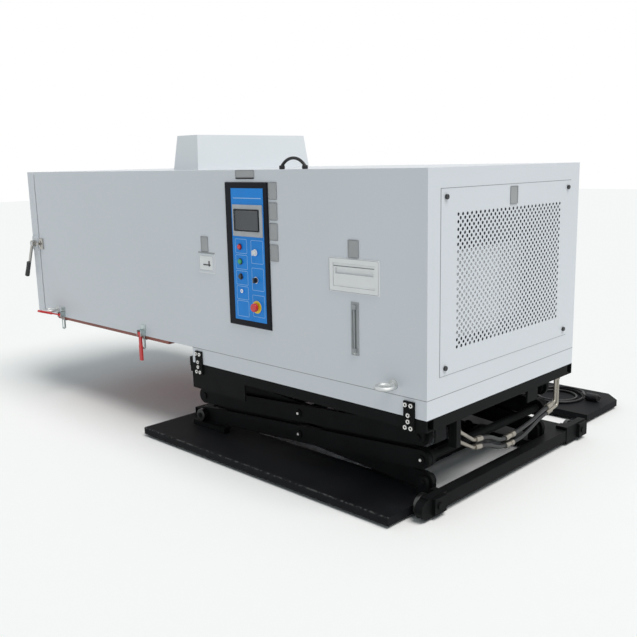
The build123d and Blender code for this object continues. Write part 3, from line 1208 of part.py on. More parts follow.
# Clamps
def clamp_bases():
    """Toggle clamp bases on the front face, and the ledge that holds the board's rear edge."""
    solids = []
    z = BODY_Z
    pivot = z + CLAMP_PIVOT_Z
    for x in CLAMP_X:
        half = CLAMP_W / 2
        plate = block(x - half, x + half, -4, 0, z + 2, z + CLAMP_BASE_H)
        for side in (-1, 1):
            cheek_x = x + side * (half - 2)
            plate += block(cheek_x - 2, cheek_x + 2, -34, -3, z + 2, z + 34)
        plate += rod_x(x - half, x + half, CLAMP_PIVOT_Y, pivot, CLAMP_PIN_R)
        loop = rod_x(x - half + 1, x + half - 1, LOOP_Y, z + 26, LOOP_R + 0.4)
        loop += rod_x(x - LOOP_HALF, x + LOOP_HALF, LOOP_Y, z - LOOP_LOW, LOOP_R)
        for leg in (x - LOOP_HALF, x + LOOP_HALF):
            loop += rod_z(z - LOOP_LOW, z + 26, leg, LOOP_Y, LOOP_R)
            loop += Pos(leg, LOOP_Y, z - LOOP_LOW) * Sphere(LOOP_R)
        solids.append(plate + loop)
    ledge = block(BOARD_X[0], BOARD_X[1], BODY_D, BODY_D + 4, z - BOARD_T - 5, z + 14)
    ledge += block(BOARD_X[0], BOARD_X[1], BODY_D - 24, BODY_D + 4, z - BOARD_T - 5, z - BOARD_T)
    solids.append(ledge)
    return solids


def board_hooks():
    """Steel angles under the board's front edge, each with a hook over a clamp's loop."""
    solids = []
    low = BODY_Z - BOARD_T
    hook_z = BODY_Z - LOOP_LOW + LOOP_R + SEAT
    for x in CLAMP_X:
        foot = block(x - 20, x + 20, -1, 60, low - 4, low)
        leg = block(x - HOOK_HALF, x + HOOK_HALF, -1, 3, hook_z, low - 3)
        tongue = block(x - HOOK_HALF, x + HOOK_HALF, -14, 3, hook_z, hook_z + 4)
        solids.append(foot + leg + tongue)
    return solids


def clamp_handle(x, opened):
    """Red handle of a toggle clamp, hanging down when shut and turned out when open."""
    half = CLAMP_W / 2 - 6
    hub = rod_x(-half, half, 0, 0, 9)
    bar = block(-half + 3, half - 3, -5, 3, -CLAMP_L + 84, 0)
    grip = block(-13, 13, -8, 6, -CLAMP_L, -CLAMP_L + 86)
    grip = fillet(grip.edges().filter_by(Axis.Z), 5)
    handle = hub + bar + grip - rod_x(-CLAMP_W, CLAMP_W, 0, 0, CLAMP_PIN_R + RUN)
    return Pos(x, CLAMP_PIVOT_Y, BODY_Z + CLAMP_PIVOT_Z) * Rot(-opened, 0, 0) * handle


def main():
    os.makedirs("parts", exist_ok=True)
    rear_base, feet = base_frame()
    save("base_frame", rear_base, feet)
    save("front_plate", front_plate())
    save("rear_plate", rear_plate())
    save("wheel_front_right", wheel(WHEEL_X, WHEEL_FRONT_Y))
    save("wheel_rear_right", wheel(WHEEL_X, WHEEL_REAR_Y))
    save("wheel_front_left", wheel(INNER_WHEEL_X, INNER_WHEEL_Y))
    save("wheel_rear_left", wheel(INNER_WHEEL_X, BODY_D - INNER_WHEEL_Y))
    save("first_inner_arms", first_inner_arms())
    save("first_outer_arms", first_outer_arms())
    save("second_inner_arms", second_inner_arms())
    save("second_outer_arms", second_outer_arms())
    save("lower_rollers", *both(roller(LOW_PIN_Z)))
    save("upper_rollers", *both(roller(TOP_PIN_Z)))
    save("cylinder_barrels", barrel(CYL_Y), barrel(BODY_D - CYL_Y))
    save("cylinder_rods", rod(CYL_Y), rod(BODY_D - CYL_Y))
    save("top_frame", top_frame())
    save("frame_straps", *straps())
    save("skirt", skirt())
    save("hose_upper", hose(UPPER_HOSE))
    save("hose_lower", hose(LOWER_HOSE))
    save("hose_fittings", *hose_fittings())
    save("cable_lead", cable_lead())
    save("cable_coil", cable_coil())
    save("cable_plug", cable_plug())
    save("cabinet_shell", *cabinet_shell())
    save("insulation", *insulation())
    save("cabinet_liner", cabinet_liner())
    save("floor_board", floor_board())
    save("door_shell", door_shell())
    save("door_gasket", door_gasket())
    save("door_hardware", *door_hardware())
    save("latch_lever", latch_lever())
    save("control_bezel", control_bezel())
    save("control_fascia", control_fascia())
    save("touch_panel", touch_panel())
    for name, dz in zip(("button_red", "button_green", "button_black"), BUTTON_Z):
        save(name, push_button(dz))
    for name, dz in zip(("rotary_light", "rotary_dark"), SWITCH_Z):
        save(name, rotary_switch(dz))
    save("stop_button", stop_button())
    save("service_flap", service_flap())
    save("drawer_frame", drawer_frame())
    save("drawer_tray", drawer_tray())
    save("level_gauge", level_gauge())
    save("side_panel", *side_panel())
    save("roof_housing", roof_housing())
    save("roof_handle", roof_handle())
    save("eye_bolts", *eye_bolts())
    save("fan_motor", fan_motor())
    save("circulation_fan", circulation_fan())
    save("air_coils", air_coils())
    save("compressors", *compressors())
    save("condenser", condenser())
    save("condenser_fan", condenser_fan())
    save("humidifier_tank", humidifier_tank())
    save("clamp_bases", *clamp_bases())
    save("board_hooks", *board_hooks())
    save("clamp_handle_left", clamp_handle(CLAMP_X[0], CLAMP_OPEN))
    save("clamp_handle_right", clamp_handle(CLAMP_X[1], 0))
    lug_x, lug_z, run, slope = cylinder_line()
    print("cylinder", round(lug_x, 2), round(lug_z, 2), round(run, 2), round(slope, 3))


main()
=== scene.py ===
import math

import bpy
from mathutils import Matrix, Quaternion, Vector


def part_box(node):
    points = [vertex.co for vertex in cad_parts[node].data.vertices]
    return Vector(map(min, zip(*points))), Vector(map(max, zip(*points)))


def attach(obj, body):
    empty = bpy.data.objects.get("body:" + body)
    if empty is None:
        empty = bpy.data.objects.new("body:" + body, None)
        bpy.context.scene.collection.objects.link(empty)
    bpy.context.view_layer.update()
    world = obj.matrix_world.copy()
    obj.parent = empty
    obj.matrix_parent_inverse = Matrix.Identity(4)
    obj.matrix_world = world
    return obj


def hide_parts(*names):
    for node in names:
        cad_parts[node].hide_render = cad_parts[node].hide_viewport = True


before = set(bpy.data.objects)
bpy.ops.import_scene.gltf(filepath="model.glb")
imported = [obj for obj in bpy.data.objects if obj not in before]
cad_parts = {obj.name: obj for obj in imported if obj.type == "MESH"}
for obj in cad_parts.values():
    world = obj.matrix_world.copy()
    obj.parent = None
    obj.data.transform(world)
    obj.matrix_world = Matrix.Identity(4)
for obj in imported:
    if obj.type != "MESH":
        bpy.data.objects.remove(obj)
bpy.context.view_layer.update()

# Camera: stands in front of the ventilated end, a little above the roof's height.
# Places are written in millimetres from the closed door's left front edge, from the front face and from
# the rails, so the machine's own drawing can be read from them.
left_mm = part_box("door_shell")[0].x * 1000
front_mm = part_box("skirt")[0].y * 1000
body_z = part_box("skirt")[1].z * 1000


def at(x, y, z):
    return Vector((x + left_mm, y + front_mm, z)) / 1000


camera = bpy.data.objects.new("camera", bpy.data.cameras.new("camera"))
bpy.context.scene.collection.objects.link(camera)
yaw, pitch, roll = math.radians(44.304), math.radians(11.119), math.radians(-1.2204)
look = Vector((-math.sin(yaw) * math.cos(pitch), math.cos(yaw) * math.cos(pitch), -math.sin(pitch)))
turn = look.to_track_quat("-Z", "Y") @ Quaternion((0, 0, 1), roll)
camera.matrix_world = Matrix.Translation(at(4959.7, -2450.4, 1444.8)) @ turn.to_matrix().to_4x4()
camera.data.sensor_width = 36
camera.data.lens = 45.43
camera.data.clip_end = 60
bpy.context.scene.camera = camera
bpy.context.scene.view_settings.view_transform = "Standard"


# Supply cable: a black rubber lead that leaves a gland on the rear deck and lies there in loose turns.
# One smooth line from the gland through the turns to its plug.
def coated(name, colour, rough, spread=0.05, patch=6.0, grain=900.0, bump=0.03, metal=0.0, coat=0.0,
           gloss=0.5):
    made = bpy.data.materials.new(name)
    made.use_nodes = True
    tree = made.node_tree
    shader = tree.nodes["Principled BSDF"]
    shader.inputs["Metallic"].default_value = metal
    shader.inputs["Coat Weight"].default_value = coat
    shader.inputs["Specular IOR Level"].default_value = gloss
    where = tree.nodes.new("ShaderNodeTexCoord")
    cloud = tree.nodes.new("ShaderNodeTexNoise")
    cloud.inputs["Scale"].default_value = patch
    cloud.inputs["Detail"].default_value = 5
    ramp = tree.nodes.new("ShaderNodeValToRGB")
    ramp.color_ramp.elements[0].position = 0.3
    ramp.color_ramp.elements[1].position = 0.7
    ramp.color_ramp.elements[0].color = [c * (1 - spread) for c in colour] + [1]
    ramp.color_ramp.elements[1].color = [min(1, c * (1 + spread)) for c in colour] + [1]
    fine = tree.nodes.new("ShaderNodeTexNoise")
    fine.inputs["Scale"].default_value = grain
    fine.inputs["Detail"].default_value = 3
    dull = tree.nodes.new("ShaderNodeMapRange")
    dull.inputs["To Min"].default_value = rough * 0.8
    dull.inputs["To Max"].default_value = min(1, rough * 1.2)
    lift = tree.nodes.new("ShaderNodeBump")
    lift.inputs["Strength"].default_value = bump * 10
    lift.inputs["Distance"].default_value = 0.0003
    link = tree.links.new
    link(where.outputs["Object"], cloud.inputs["Vector"])
    link(where.outputs["Object"], fine.inputs["Vector"])
    link(cloud.outputs["Fac"], ramp.inputs["Fac"])
    link(ramp.outputs["Color"], shader.inputs["Base Color"])
    link(cloud.outputs["Fac"], dull.inputs["Value"])
    link(dull.outputs["Result"], shader.inputs["Roughness"])
    link(fine.outputs["Fac"], lift.inputs["Height"])
    link(lift.outputs["Normal"], shader.inputs["Normal"])
    return made


def dress(finish, *names):
    for name in names:
        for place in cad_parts[name].material_slots:
            place.material = finish


def cord_line(name, points, radius, finish):
    curve = bpy.data.curves.new(name, "CURVE")
    curve.dimensions = "3D"
    curve.bevel_depth = radius
    curve.bevel_resolution = 5
    curve.resolution_u = 12
    curve.use_fill_caps = True
    line = curve.splines.new("NURBS")
    line.points.add(len(points) - 1)
    for spot, place in zip(line.points, points):
        spot.co = (*place, 1)
    line.order_u = 3
    line.use_endpoint_u = True
    piece = bpy.data.objects.new(name, curve)
    bpy.context.scene.collection.objects.link(piece)
    curve.materials.append(finish)
    return piece


cable_rubber = coated("cable_rubber", (0.014, 0.014, 0.016), 0.4, 0.15, 30, 1500, 0.03, gloss=0.3)
coil_x, coil_y, lying_z, cable_radius = 2770, 1790, 58.3, 0.007
route = [(2560, 1352, 73), (2560, 1366, 73), (2561, 1412, 66), (2570, 1466, lying_z), (2566, 1544, lying_z),
         (2580, 1618, lying_z), (2602, 1660, lying_z)]
for step in range(30):
    angle = math.radians(200 - 30 * step)
    if step < 12:
        size, height, shift = 158 - 0.5 * step, lying_z, 0
    elif step < 24:
        size, height, shift = 118 - 0.7 * (step - 12), lying_z, 7
    else:
        size, height, shift = 112 + 9.5 * (step - 24), min(74.5, 62 + 4 * (step - 24)), 4
    route.append((coil_x + shift + size * math.cos(angle), coil_y - shift + size * math.sin(angle), height))
route += [(2898, 1872, 74.5), (2924, 1836, 73.6), (2942, 1830, 73.3)]
cable = cord_line("supply_cable", [at(*p) for p in route], cable_radius, cable_rubber)
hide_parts("cable_lead", "cable_coil")
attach(cable, "base")
plug_plastic = coated("plug_plastic", (0.018, 0.018, 0.02), 0.5, 0.1, 40, 1200, 0.04, gloss=0.3)
dress(plug_plastic, "cable_plug")

# Hydraulic hoses: black rubber, hung in one low bow under the right end of the top frame.
# Each runs between crimped sleeves and passes a crimped union on its way.
hose_rubber = coated("hose_rubber", (0.025, 0.026, 0.028), 0.38, 0.15, 40, 1600, 0.03, gloss=0.35)
hose_x, hose_radius = 3125, 0.010
upper = [(430, 240), (484, 233), (536, 212), (596, 184), (736, 191), (806, 200), (872, 211), (940, 231),
         (1006, 241)]
lower = [(425, 206), (480, 198), (534, 174), (598, 152), (728, 148), (796, 158), (862, 176), (932, 204),
         (1001, 214)]
for name, run, length in (("upper_hose", upper, 0.59), ("lower_hose", lower, 0.593)):
    hose = cord_line(name, [at(hose_x, y, z) for y, z in run], hose_radius, hose_rubber)
    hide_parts("hose_upper" if name == "upper_hose" else "hose_lower")
    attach(hose, "platform")
crimp_steel = coated("crimp_steel", (0.33, 0.31, 0.27), 0.36, 0.15, 30, 700, 0.02, metal=0.9)
dress(crimp_steel, "hose_fittings")

# Cabinet: powder-coated sheet steel, off-white with a soft sheen and a very fine orange-peel surface.
# The door, the tray under the machine half and the roof hood have the same coat; the hood's copy is painted
# lighter, as painted light on it.
white_coat = coated("white_coat", (0.66, 0.69, 0.735), 0.38, 0.018, 1.3, 420, 0.012, gloss=0.3)
dress(white_coat, "cabinet_shell", "door_shell", "skirt")
# A lighter copy of the white coat for the roof hood: painted light.
hood_coat_painted_light = coated("hood_coat_painted_light", (0.80, 0.83, 0.86), 0.38, 0.012, 1.6, 420, 0.012, gloss=0.3)
dress(hood_coat_painted_light, "roof_housing")

# Ventilated panel on the right end: one sheet with staggered round holes, held by four black knobs.
# A tile with one hole is cut from a flat ring and repeated in rows that share their corner points. Then
# the plain margin is filled in between the rows and the sheet's border, and the sheet is thickened.
panel_x, panel_y, panel_z = 3150, (83, 1117), (body_z + 82, body_z + 820)
columns, rows = 27, 37
pitch_y, pitch_z = 848 / columns, 547 / rows
hole_y, hole_z, hole_radius = 182, body_z + 178, 0.0073
snap, seam, sheet_thick = 0.00001, 0.00005, 0.0019


def clear():
    bpy.ops.object.select_all(action="DESELECT")


def settle(finish, body):
    made = bpy.context.object
    clear()
    made.select_set(True)
    bpy.context.view_layer.objects.active = made
    for modifier in list(made.modifiers):
        bpy.ops.object.modifier_apply(modifier=modifier.name)
    bpy.ops.object.transform_apply(location=True, rotation=True, scale=True)
    made.data.materials.clear()
    made.data.materials.append(finish)
    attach(made, body)
    return made


def tile_row(count, repeat, y, z):
    clear()
    bpy.ops.mesh.primitive_circle_add(vertices=12, radius=hole_radius, location=(0, 0, 0))
    bpy.ops.object.mode_set(mode="EDIT")
    bpy.ops.mesh.select_all(action="SELECT")
    bpy.ops.mesh.extrude_region_move()
    bpy.ops.transform.resize(value=(5, 5, 1))
    across, up = pitch_y / 2000, pitch_z / 2000
    for side, half in (((1, 0, 0), across), ((-1, 0, 0), across), ((0, 1, 0), up), ((0, -1, 0), up)):
        bpy.ops.mesh.select_all(action="SELECT")
        bpy.ops.mesh.bisect(plane_co=[half * s for s in side], plane_no=side, clear_outer=True,
                            threshold=snap)
    for degrees in (30, 60):
        shared = across - up / math.tan(math.radians(degrees))
        for place in (-shared, shared):
            bpy.ops.mesh.select_all(action="SELECT")
            bpy.ops.mesh.bisect(plane_co=(place, 0, 0), plane_no=(1, 0, 0), threshold=snap)
    bpy.ops.object.mode_set(mode="OBJECT")
    made = bpy.context.object
    for label, step, copies in (("along", (2 * across, 0, 0), count), ("above", (0, 4 * up, 0), repeat)):
        rows_of = made.modifiers.new(label, "ARRAY")
        rows_of.use_relative_offset = False
        rows_of.use_constant_offset = True
        rows_of.constant_offset_displace = step
        rows_of.count = copies
        bpy.ops.object.modifier_apply(modifier=label)
    made.location = (y / 1000, z / 1000, 0)
    bpy.ops.object.transform_apply(location=True, rotation=True, scale=True)
    return made


clear()
bpy.ops.mesh.primitive_plane_add(size=1, location=(sum(panel_y) / 2000, sum(panel_z) / 2000, 0))
border = bpy.context.object
border.scale = ((panel_y[1] - panel_y[0]) / 1000, (panel_z[1] - panel_z[0]) / 1000, 1)
bpy.ops.object.transform_apply(location=True, rotation=True, scale=True)
bpy.ops.object.mode_set(mode="EDIT")
bpy.ops.mesh.select_all(action="SELECT")
bpy.ops.mesh.delete(type="ONLY_FACE")
bpy.ops.object.mode_set(mode="OBJECT")
panel = tile_row(columns, (rows + 1) // 2, hole_y + pitch_y / 2, hole_z + pitch_z / 2)
between = tile_row(columns - 1, rows // 2, hole_y + pitch_y, hole_z + 1.5 * pitch_z)
clear()
for piece in (panel, between, border):
    piece.select_set(True)
bpy.context.view_layer.objects.active = panel
bpy.ops.object.join()
panel.name = "ventilated_panel"
bpy.ops.object.mode_set(mode="EDIT")
bpy.ops.mesh.select_all(action="SELECT")
bpy.ops.mesh.remove_doubles(threshold=seam)
bpy.ops.mesh.select_mode(type="EDGE")
bpy.ops.mesh.select_all(action="DESELECT")
bpy.ops.object.mode_set(mode="OBJECT")
faces_at = {}
for face in panel.data.polygons:
    for key in face.edge_keys:
        faces_at[key] = faces_at.get(key, 0) + 1
for edge in panel.data.edges:
    a, b = (panel.data.vertices[v].co for v in edge.vertices)
    level_or_upright = min(abs(a.x - b.x), abs(a.y - b.y)) < 1e-6
    edge.select = faces_at.get(edge.key, 0) < 2 and level_or_upright
bpy.ops.object.mode_set(mode="EDIT")
bpy.ops.mesh.fill(use_beauty=True)
bpy.ops.mesh.select_all(action="SELECT")
bpy.ops.mesh.normals_make_consistent(inside=False)
bpy.ops.mesh.select_mode(type="VERT")
bpy.ops.object.mode_set(mode="OBJECT")
panel.matrix_world = Matrix(((0, 0, 1, (panel_x + left_mm) / 1000), (1, 0, 0, front_mm / 1000),
                             (0, 1, 0, 0), (0, 0, 0, 1)))
thick = panel.modifiers.new("thick", "SOLIDIFY")
thick.thickness = sheet_thick
thick.offset = 1
settle(white_coat, "platform")
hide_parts("side_panel")

knob_black = coated("knob_black", (0.02, 0.02, 0.022), 0.4, 0.1, 60, 900, 0.03)
knob_x, knob_in = panel_x + 6.5, 31
for y in (panel_y[0] + knob_in, panel_y[1] - knob_in):
    for z in (panel_z[0] + knob_in, panel_z[1] - knob_in):
        clear()
        bpy.ops.mesh.primitive_cylinder_add(vertices=36, radius=0.010, depth=0.009, location=at(knob_x, y, z),
                                            rotation=(0, math.pi / 2, 0))
        knob = bpy.context.object
        knob.name = "panel_knob"
        bpy.ops.object.mode_set(mode="EDIT")
        bpy.ops.mesh.select_all(action="DESELECT")
        bpy.ops.object.mode_set(mode="OBJECT")
        for face in knob.data.polygons:
            face.select = face.normal.z > 0.9
        bpy.ops.object.mode_set(mode="EDIT")
        bpy.ops.mesh.inset(thickness=0.0025)
        bpy.ops.mesh.inset(thickness=0.0012, depth=-0.002)
        bpy.ops.object.mode_set(mode="OBJECT")
        rounding = knob.modifiers.new("rounding", "BEVEL")
        rounding.width = 0.00105
        rounding.segments = 2
        settle(knob_black, "platform")

# Label plates: bare aluminium-coloured plates, flat on the front face and on the ventilated panel.
# Each is a thin block with rounded corners. The long one has a dark strip along its foot.
plate_face = coated("plate_face", (0.33, 0.34, 0.35), 0.35, 0.05, 12, 900, 0.02, metal=0.4)
plate_dark = coated("plate_dark", (0.03, 0.032, 0.038), 0.4, 0.08, 20, 900, 0.02, gloss=0.3)


def slab(name, low, high, thin, finish, corner=4, body="platform"):
    clear()
    bpy.ops.mesh.primitive_cube_add(size=1, location=at(*[(a + b) / 2 for a, b in zip(low, high)]))
    made = bpy.context.object
    made.name = name
    made.scale = [(b - a) / 1000 for a, b in zip(low, high)]
    bpy.ops.object.transform_apply(location=True, rotation=True, scale=True)
    bpy.ops.object.mode_set(mode="EDIT")
    bpy.ops.mesh.select_all(action="DESELECT")
    bpy.ops.object.mode_set(mode="OBJECT")
    for edge in made.data.edges:
        a, b = (made.data.vertices[v].co for v in edge.vertices)
        edge.select = abs(a[thin] - b[thin]) > 1e-5
    bpy.ops.object.mode_set(mode="EDIT")
    bpy.ops.mesh.bevel(offset=corner / 1000, segments=4)
    bpy.ops.object.mode_set(mode="OBJECT")
    return settle(finish, body)


def plate(name, x0, x1, z0, z1, finish, out=1.6, y=0):
    return slab(name, (x0, y - out, body_z + z0), (x1, y, body_z + z1), 1, finish)


plate("name_plate", 2053, 2181, 858, 899, plate_face)
plate("name_plate_foot", 2055, 2179, 859, 866, plate_dark, 2.2)
for z0, z1 in ((768, 845), (676, 755), (586, 663), (492, 568)):
    plate("side_plate", 2274, 2327, z0, z1, plate_face)
plate("flap_plate", 1768, 1822, 504, 580, plate_face)
plate("drawer_plate", 2748, 2805, 540, 614, plate_face)
slab("panel_plate", (3152, 577, body_z + 736), (3153.6, 635, body_z + 812), 0, plate_face)

# Joints in the sheet metal: thin grey strips of painted shade where the tray and the ventilated panel meet
# the body.
# Each strip is flat with softened edges, a fraction of a millimetre proud.
# Grey of the seam strips: painted shade in the joints.
seam_shade_grey = coated("seam_shade_grey", (0.27, 0.28, 0.30), 0.6, 0.06, 30, 700, 0.02)


def seam_shade_strip(name, low, high):
    clear()
    middle = [(a + b) / 2 for a, b in zip(low, high)]
    bpy.ops.mesh.primitive_cube_add(size=1, location=at(*middle))
    made = bpy.context.object
    made.name = name
    made.scale = [abs(b - a) / 1000 for a, b in zip(low, high)]
    bpy.ops.object.transform_apply(location=True, rotation=True, scale=True)
    softened = made.modifiers.new("softened", "BEVEL")
    softened.width = 0.0001
    return settle(seam_shade_grey, "platform")


tray_left, depth, proud, sunk = 1650, 1200, 0.3, 0.1
joint_low, joint_high = body_z - 1.4, body_z + 1.4
seam_shade_strip("tray_joint_front", (tray_left, -proud, joint_low), (panel_x, sunk, joint_high))
seam_shade_strip("tray_joint_end", (panel_x - sunk, 0, joint_low), (panel_x + proud, depth, joint_high))
seam_shade_strip("tray_joint_rear", (tray_left, depth - sunk, joint_low), (panel_x, depth + proud, joint_high))
gap_near, gap_far, gap_wide = 0.2, 2.6, 2.4
for z in (panel_z[0] - gap_far, panel_z[1] + gap_near):
    seam_shade_strip("panel_joint_level", (panel_x - sunk, panel_y[0] - gap_far, z),
         (panel_x + proud, panel_y[1] + gap_far, z + gap_wide))
for y in (panel_y[0] - gap_far, panel_y[1] + gap_near):
    seam_shade_strip("panel_joint_upright", (panel_x - sunk, y, panel_z[0] - gap_far),
         (panel_x + proud, y + gap_wide, panel_z[1] + gap_far))

# Lift and carriage: welded steel in matt black paint. Along the deck's front edge, a patchy
# mask that fades with the distance from that edge lets grey through the paint: partly paint worn where boots
# rub, partly painted highlight on the edge.
# The rollers and wheels are oiled dark steel, and the cylinder rods are hard chrome.
frame_paint = coated("frame_paint", (0.0065, 0.007, 0.0075), 0.55, 0.3, 9, 600, 0.035, gloss=0.06)
dress(frame_paint, "base_frame", "first_inner_arms", "first_outer_arms", "second_inner_arms",
      "second_outer_arms", "top_frame", "frame_straps", "cylinder_barrels")
deck_paint = coated("deck_paint", (0.006, 0.0065, 0.008), 0.65, 0.35, 5, 140, 0.25, gloss=0.1)
dress(deck_paint, "front_plate", "rear_plate")
wear_and_highlight_grey = (0.11, 0.11, 0.11, 1)


def edge_wear_and_highlight(finish, edge_y, edge_z, reach):
    tree = finish.node_tree
    shader = tree.nodes["Principled BSDF"]
    paint = shader.inputs["Base Color"].links[0].from_socket
    where = tree.nodes.new("ShaderNodeTexCoord")
    apart = tree.nodes.new("ShaderNodeSeparateXYZ")
    fades = []
    for axis, near, far in (("Y", edge_y, edge_y + reach), ("Z", edge_z, edge_z - reach)):
        fade = tree.nodes.new("ShaderNodeMapRange")
        fade.inputs["From Min"].default_value = near
        fade.inputs["From Max"].default_value = far
        fade.inputs["To Min"].default_value = 1
        fade.inputs["To Max"].default_value = 0
        tree.links.new(apart.outputs[axis], fade.inputs["Value"])
        fades.append(fade)
    edge_patches = tree.nodes.new("ShaderNodeTexNoise")
    edge_patches.inputs["Scale"].default_value = 70
    edge_patches.inputs["Detail"].default_value = 9
    edge_patch_ramp = tree.nodes.new("ShaderNodeValToRGB")
    edge_patch_ramp.color_ramp.elements[0].position = 0.46
    edge_patch_ramp.color_ramp.elements[1].position = 0.60
    corner = tree.nodes.new("ShaderNodeMath")
    corner.operation = "MULTIPLY"
    both = tree.nodes.new("ShaderNodeMath")
    both.operation = "MULTIPLY"
    mixed = tree.nodes.new("ShaderNodeMix")
    mixed.data_type = "RGBA"
    below, above, result = mixed.inputs[6], mixed.inputs[7], mixed.outputs[2]
    above.default_value = wear_and_highlight_grey
    link = tree.links.new
    link(where.outputs["Object"], apart.inputs["Vector"])
    link(fades[0].outputs["Result"], corner.inputs[0])
    link(fades[1].outputs["Result"], corner.inputs[1])
    link(where.outputs["Object"], edge_patches.inputs["Vector"])
    link(edge_patches.outputs["Fac"], edge_patch_ramp.inputs["Fac"])
    link(corner.outputs["Value"], both.inputs[0])
    link(edge_patch_ramp.outputs["Color"], both.inputs[1])
    link(both.outputs["Value"], mixed.inputs["Factor"])
    link(paint, below)
    link(result, shader.inputs["Base Color"])


# Grey along the deck's front edge: partly worn paint, partly a painted highlight on the edge.
deck_low, deck_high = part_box("front_plate")
edge_wear_and_highlight(deck_paint, deck_low.y, deck_high.z, 0.007)
roller_steel = coated("roller_steel", (0.06, 0.062, 0.062), 0.35, 0.25, 40, 800, 0.03, metal=0.9)
dress(roller_steel, "wheel_front_right", "wheel_rear_right", "wheel_front_left", "wheel_rear_left",
      "lower_rollers", "upper_rollers")
hard_chrome = coated("hard_chrome", (0.72, 0.73, 0.74), 0.12, 0.03, 20, 500, 0.01, metal=1)
dress(hard_chrome, "cylinder_rods")

# Screws of the four straps: bright zinc button heads with a socket, six in each strap.
# One head is a short round bar with a rounded rim and a sunk socket, made anew at each place.
screw_zinc = coated("screw_zinc", (0.66, 0.66, 0.64), 0.28, 0.1, 60, 800, 0.02, metal=0.9)


def stud(name, place, facing, radius, height, finish, body):
    socket_wall, socket_depth = radius * 0.08, height * 0.4
    clear()
    bpy.ops.mesh.primitive_cylinder_add(vertices=28, radius=radius, depth=height)
    made = bpy.context.object
    made.name = name
    bpy.ops.object.mode_set(mode="EDIT")
    bpy.ops.mesh.select_all(action="DESELECT")
    bpy.ops.object.mode_set(mode="OBJECT")
    for face in made.data.polygons:
        face.select = face.normal.z > 0.9
    bpy.ops.object.mode_set(mode="EDIT")
    bpy.ops.mesh.inset(thickness=radius * 0.55)
    bpy.ops.mesh.inset(thickness=socket_wall, depth=-socket_depth)
    bpy.ops.object.mode_set(mode="OBJECT")
    made.matrix_world = Matrix.Translation(place) @ facing.to_track_quat("Z", "Y").to_matrix().to_4x4()
    rounding = made.modifiers.new("rounding", "BEVEL")
    rounding.width = 0.45 * math.hypot(socket_wall, socket_depth)
    rounding.segments = 3
    rounding.angle_limit = math.radians(60)
    return settle(finish, body)


front, rear = Vector((0, -1, 0)), Vector((0, 1, 0))
strap_top = body_z - 14
for strap_x in (1707, 3066):
    for side, strap_y, facing in (("front", -11.8, front), ("rear", depth + 11.8, rear)):
        for dx, dz in ((-14, 14), (14, 14), (0, 56), (0, 82), (-14, 108), (14, 108)):
            stud("strap_screw_" + side, at(strap_x + dx, strap_y, strap_top - dz), facing, 0.0096, 0.0078,
                 screw_zinc, "platform")

# Grease nipples: small bright steel studs in the heads of the scissor's pins, front and rear.
# They sit in the middle of each pin's head.
for x, z, body in ((2320, 162.8, "arms_low_inner"), (2320, 265.8, "arms_high_inner"),
                   (3045, 214.3, "arms_low_outer")):
    for side, y, facing in (("front", 97.4, front), ("rear", 1102.6, rear)):
        stud("grease_nipple_" + side, at(x, y, z), facing, 0.0065, 0.004, screw_zinc, body)

# Lifting eyes: forged steel with bright zinc, screwed into the corners of the cabinet.
# They keep the drawing's shape and get the plating's colour.
eye_steel = coated("eye_steel", (0.60, 0.62, 0.62), 0.48, 0.1, 25, 600, 0.04, metal=0.7)
dress(eye_steel, "eye_bolts")

# Roof handle: a low arched bow in black plastic on two feet, on the roof behind the front edge.
# A round section is spun along the arch, and each foot is a low disc under its end.
handle_black = coated("handle_black", (0.018, 0.018, 0.02), 0.4, 0.1, 40, 700, 0.02, gloss=0.3)
foot_low, foot_high = (corner * 1000 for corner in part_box("roof_handle"))
middle_x, middle_y = (foot_low.x + foot_high.x) / 2 - left_mm, (foot_low.y + foot_high.y) / 2 - front_mm
half_span, rise, bar, foot_radius = 72, 34, 7, 0.013
arch_radius = (half_span ** 2 + rise ** 2) / (2 * rise)
arch_half = math.asin(half_span / arch_radius)
arch_low = foot_high.z - bar - rise
foot_top = arch_low + 3
clear()
bpy.ops.mesh.primitive_circle_add(vertices=24, radius=bar / 1000, fill_type="NGON",
                                  location=at(middle_x - half_span, middle_y, arch_low),
                                  rotation=(0, math.pi / 2 - arch_half, 0))
bow = bpy.context.object
bow.name = "roof_handle_bow"
bpy.ops.object.transform_apply(location=True, rotation=True, scale=True)
bpy.ops.object.mode_set(mode="EDIT")
bpy.ops.mesh.select_all(action="SELECT")
bpy.ops.mesh.spin(steps=28, angle=-2 * arch_half, axis=(0, 1, 0),
                  center=at(middle_x, middle_y, arch_low + rise - arch_radius))
bpy.ops.mesh.select_all(action="SELECT")
bpy.ops.mesh.remove_doubles(threshold=0.00002)
bpy.ops.mesh.normals_make_consistent(inside=False)
bpy.ops.object.mode_set(mode="OBJECT")
bpy.ops.object.shade_smooth_by_angle(angle=math.radians(40))
settle(handle_black, "platform")
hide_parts("roof_handle")
for foot_x in (middle_x - half_span, middle_x + half_span):
    clear()
    bpy.ops.mesh.primitive_cylinder_add(vertices=32, radius=foot_radius, depth=(foot_top - foot_low.z) / 1000,
                                        location=at(foot_x, middle_y, (foot_top + foot_low.z) / 2))
    foot = bpy.context.object
    foot.name = "roof_handle_foot"
    narrowing = foot.modifiers.new("narrowing", "BEVEL")
    narrowing.width = 0.004
    narrowing.segments = 4
    narrowing.angle_limit = math.radians(60)
    settle(handle_black, "platform")
    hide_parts("roof_handle")

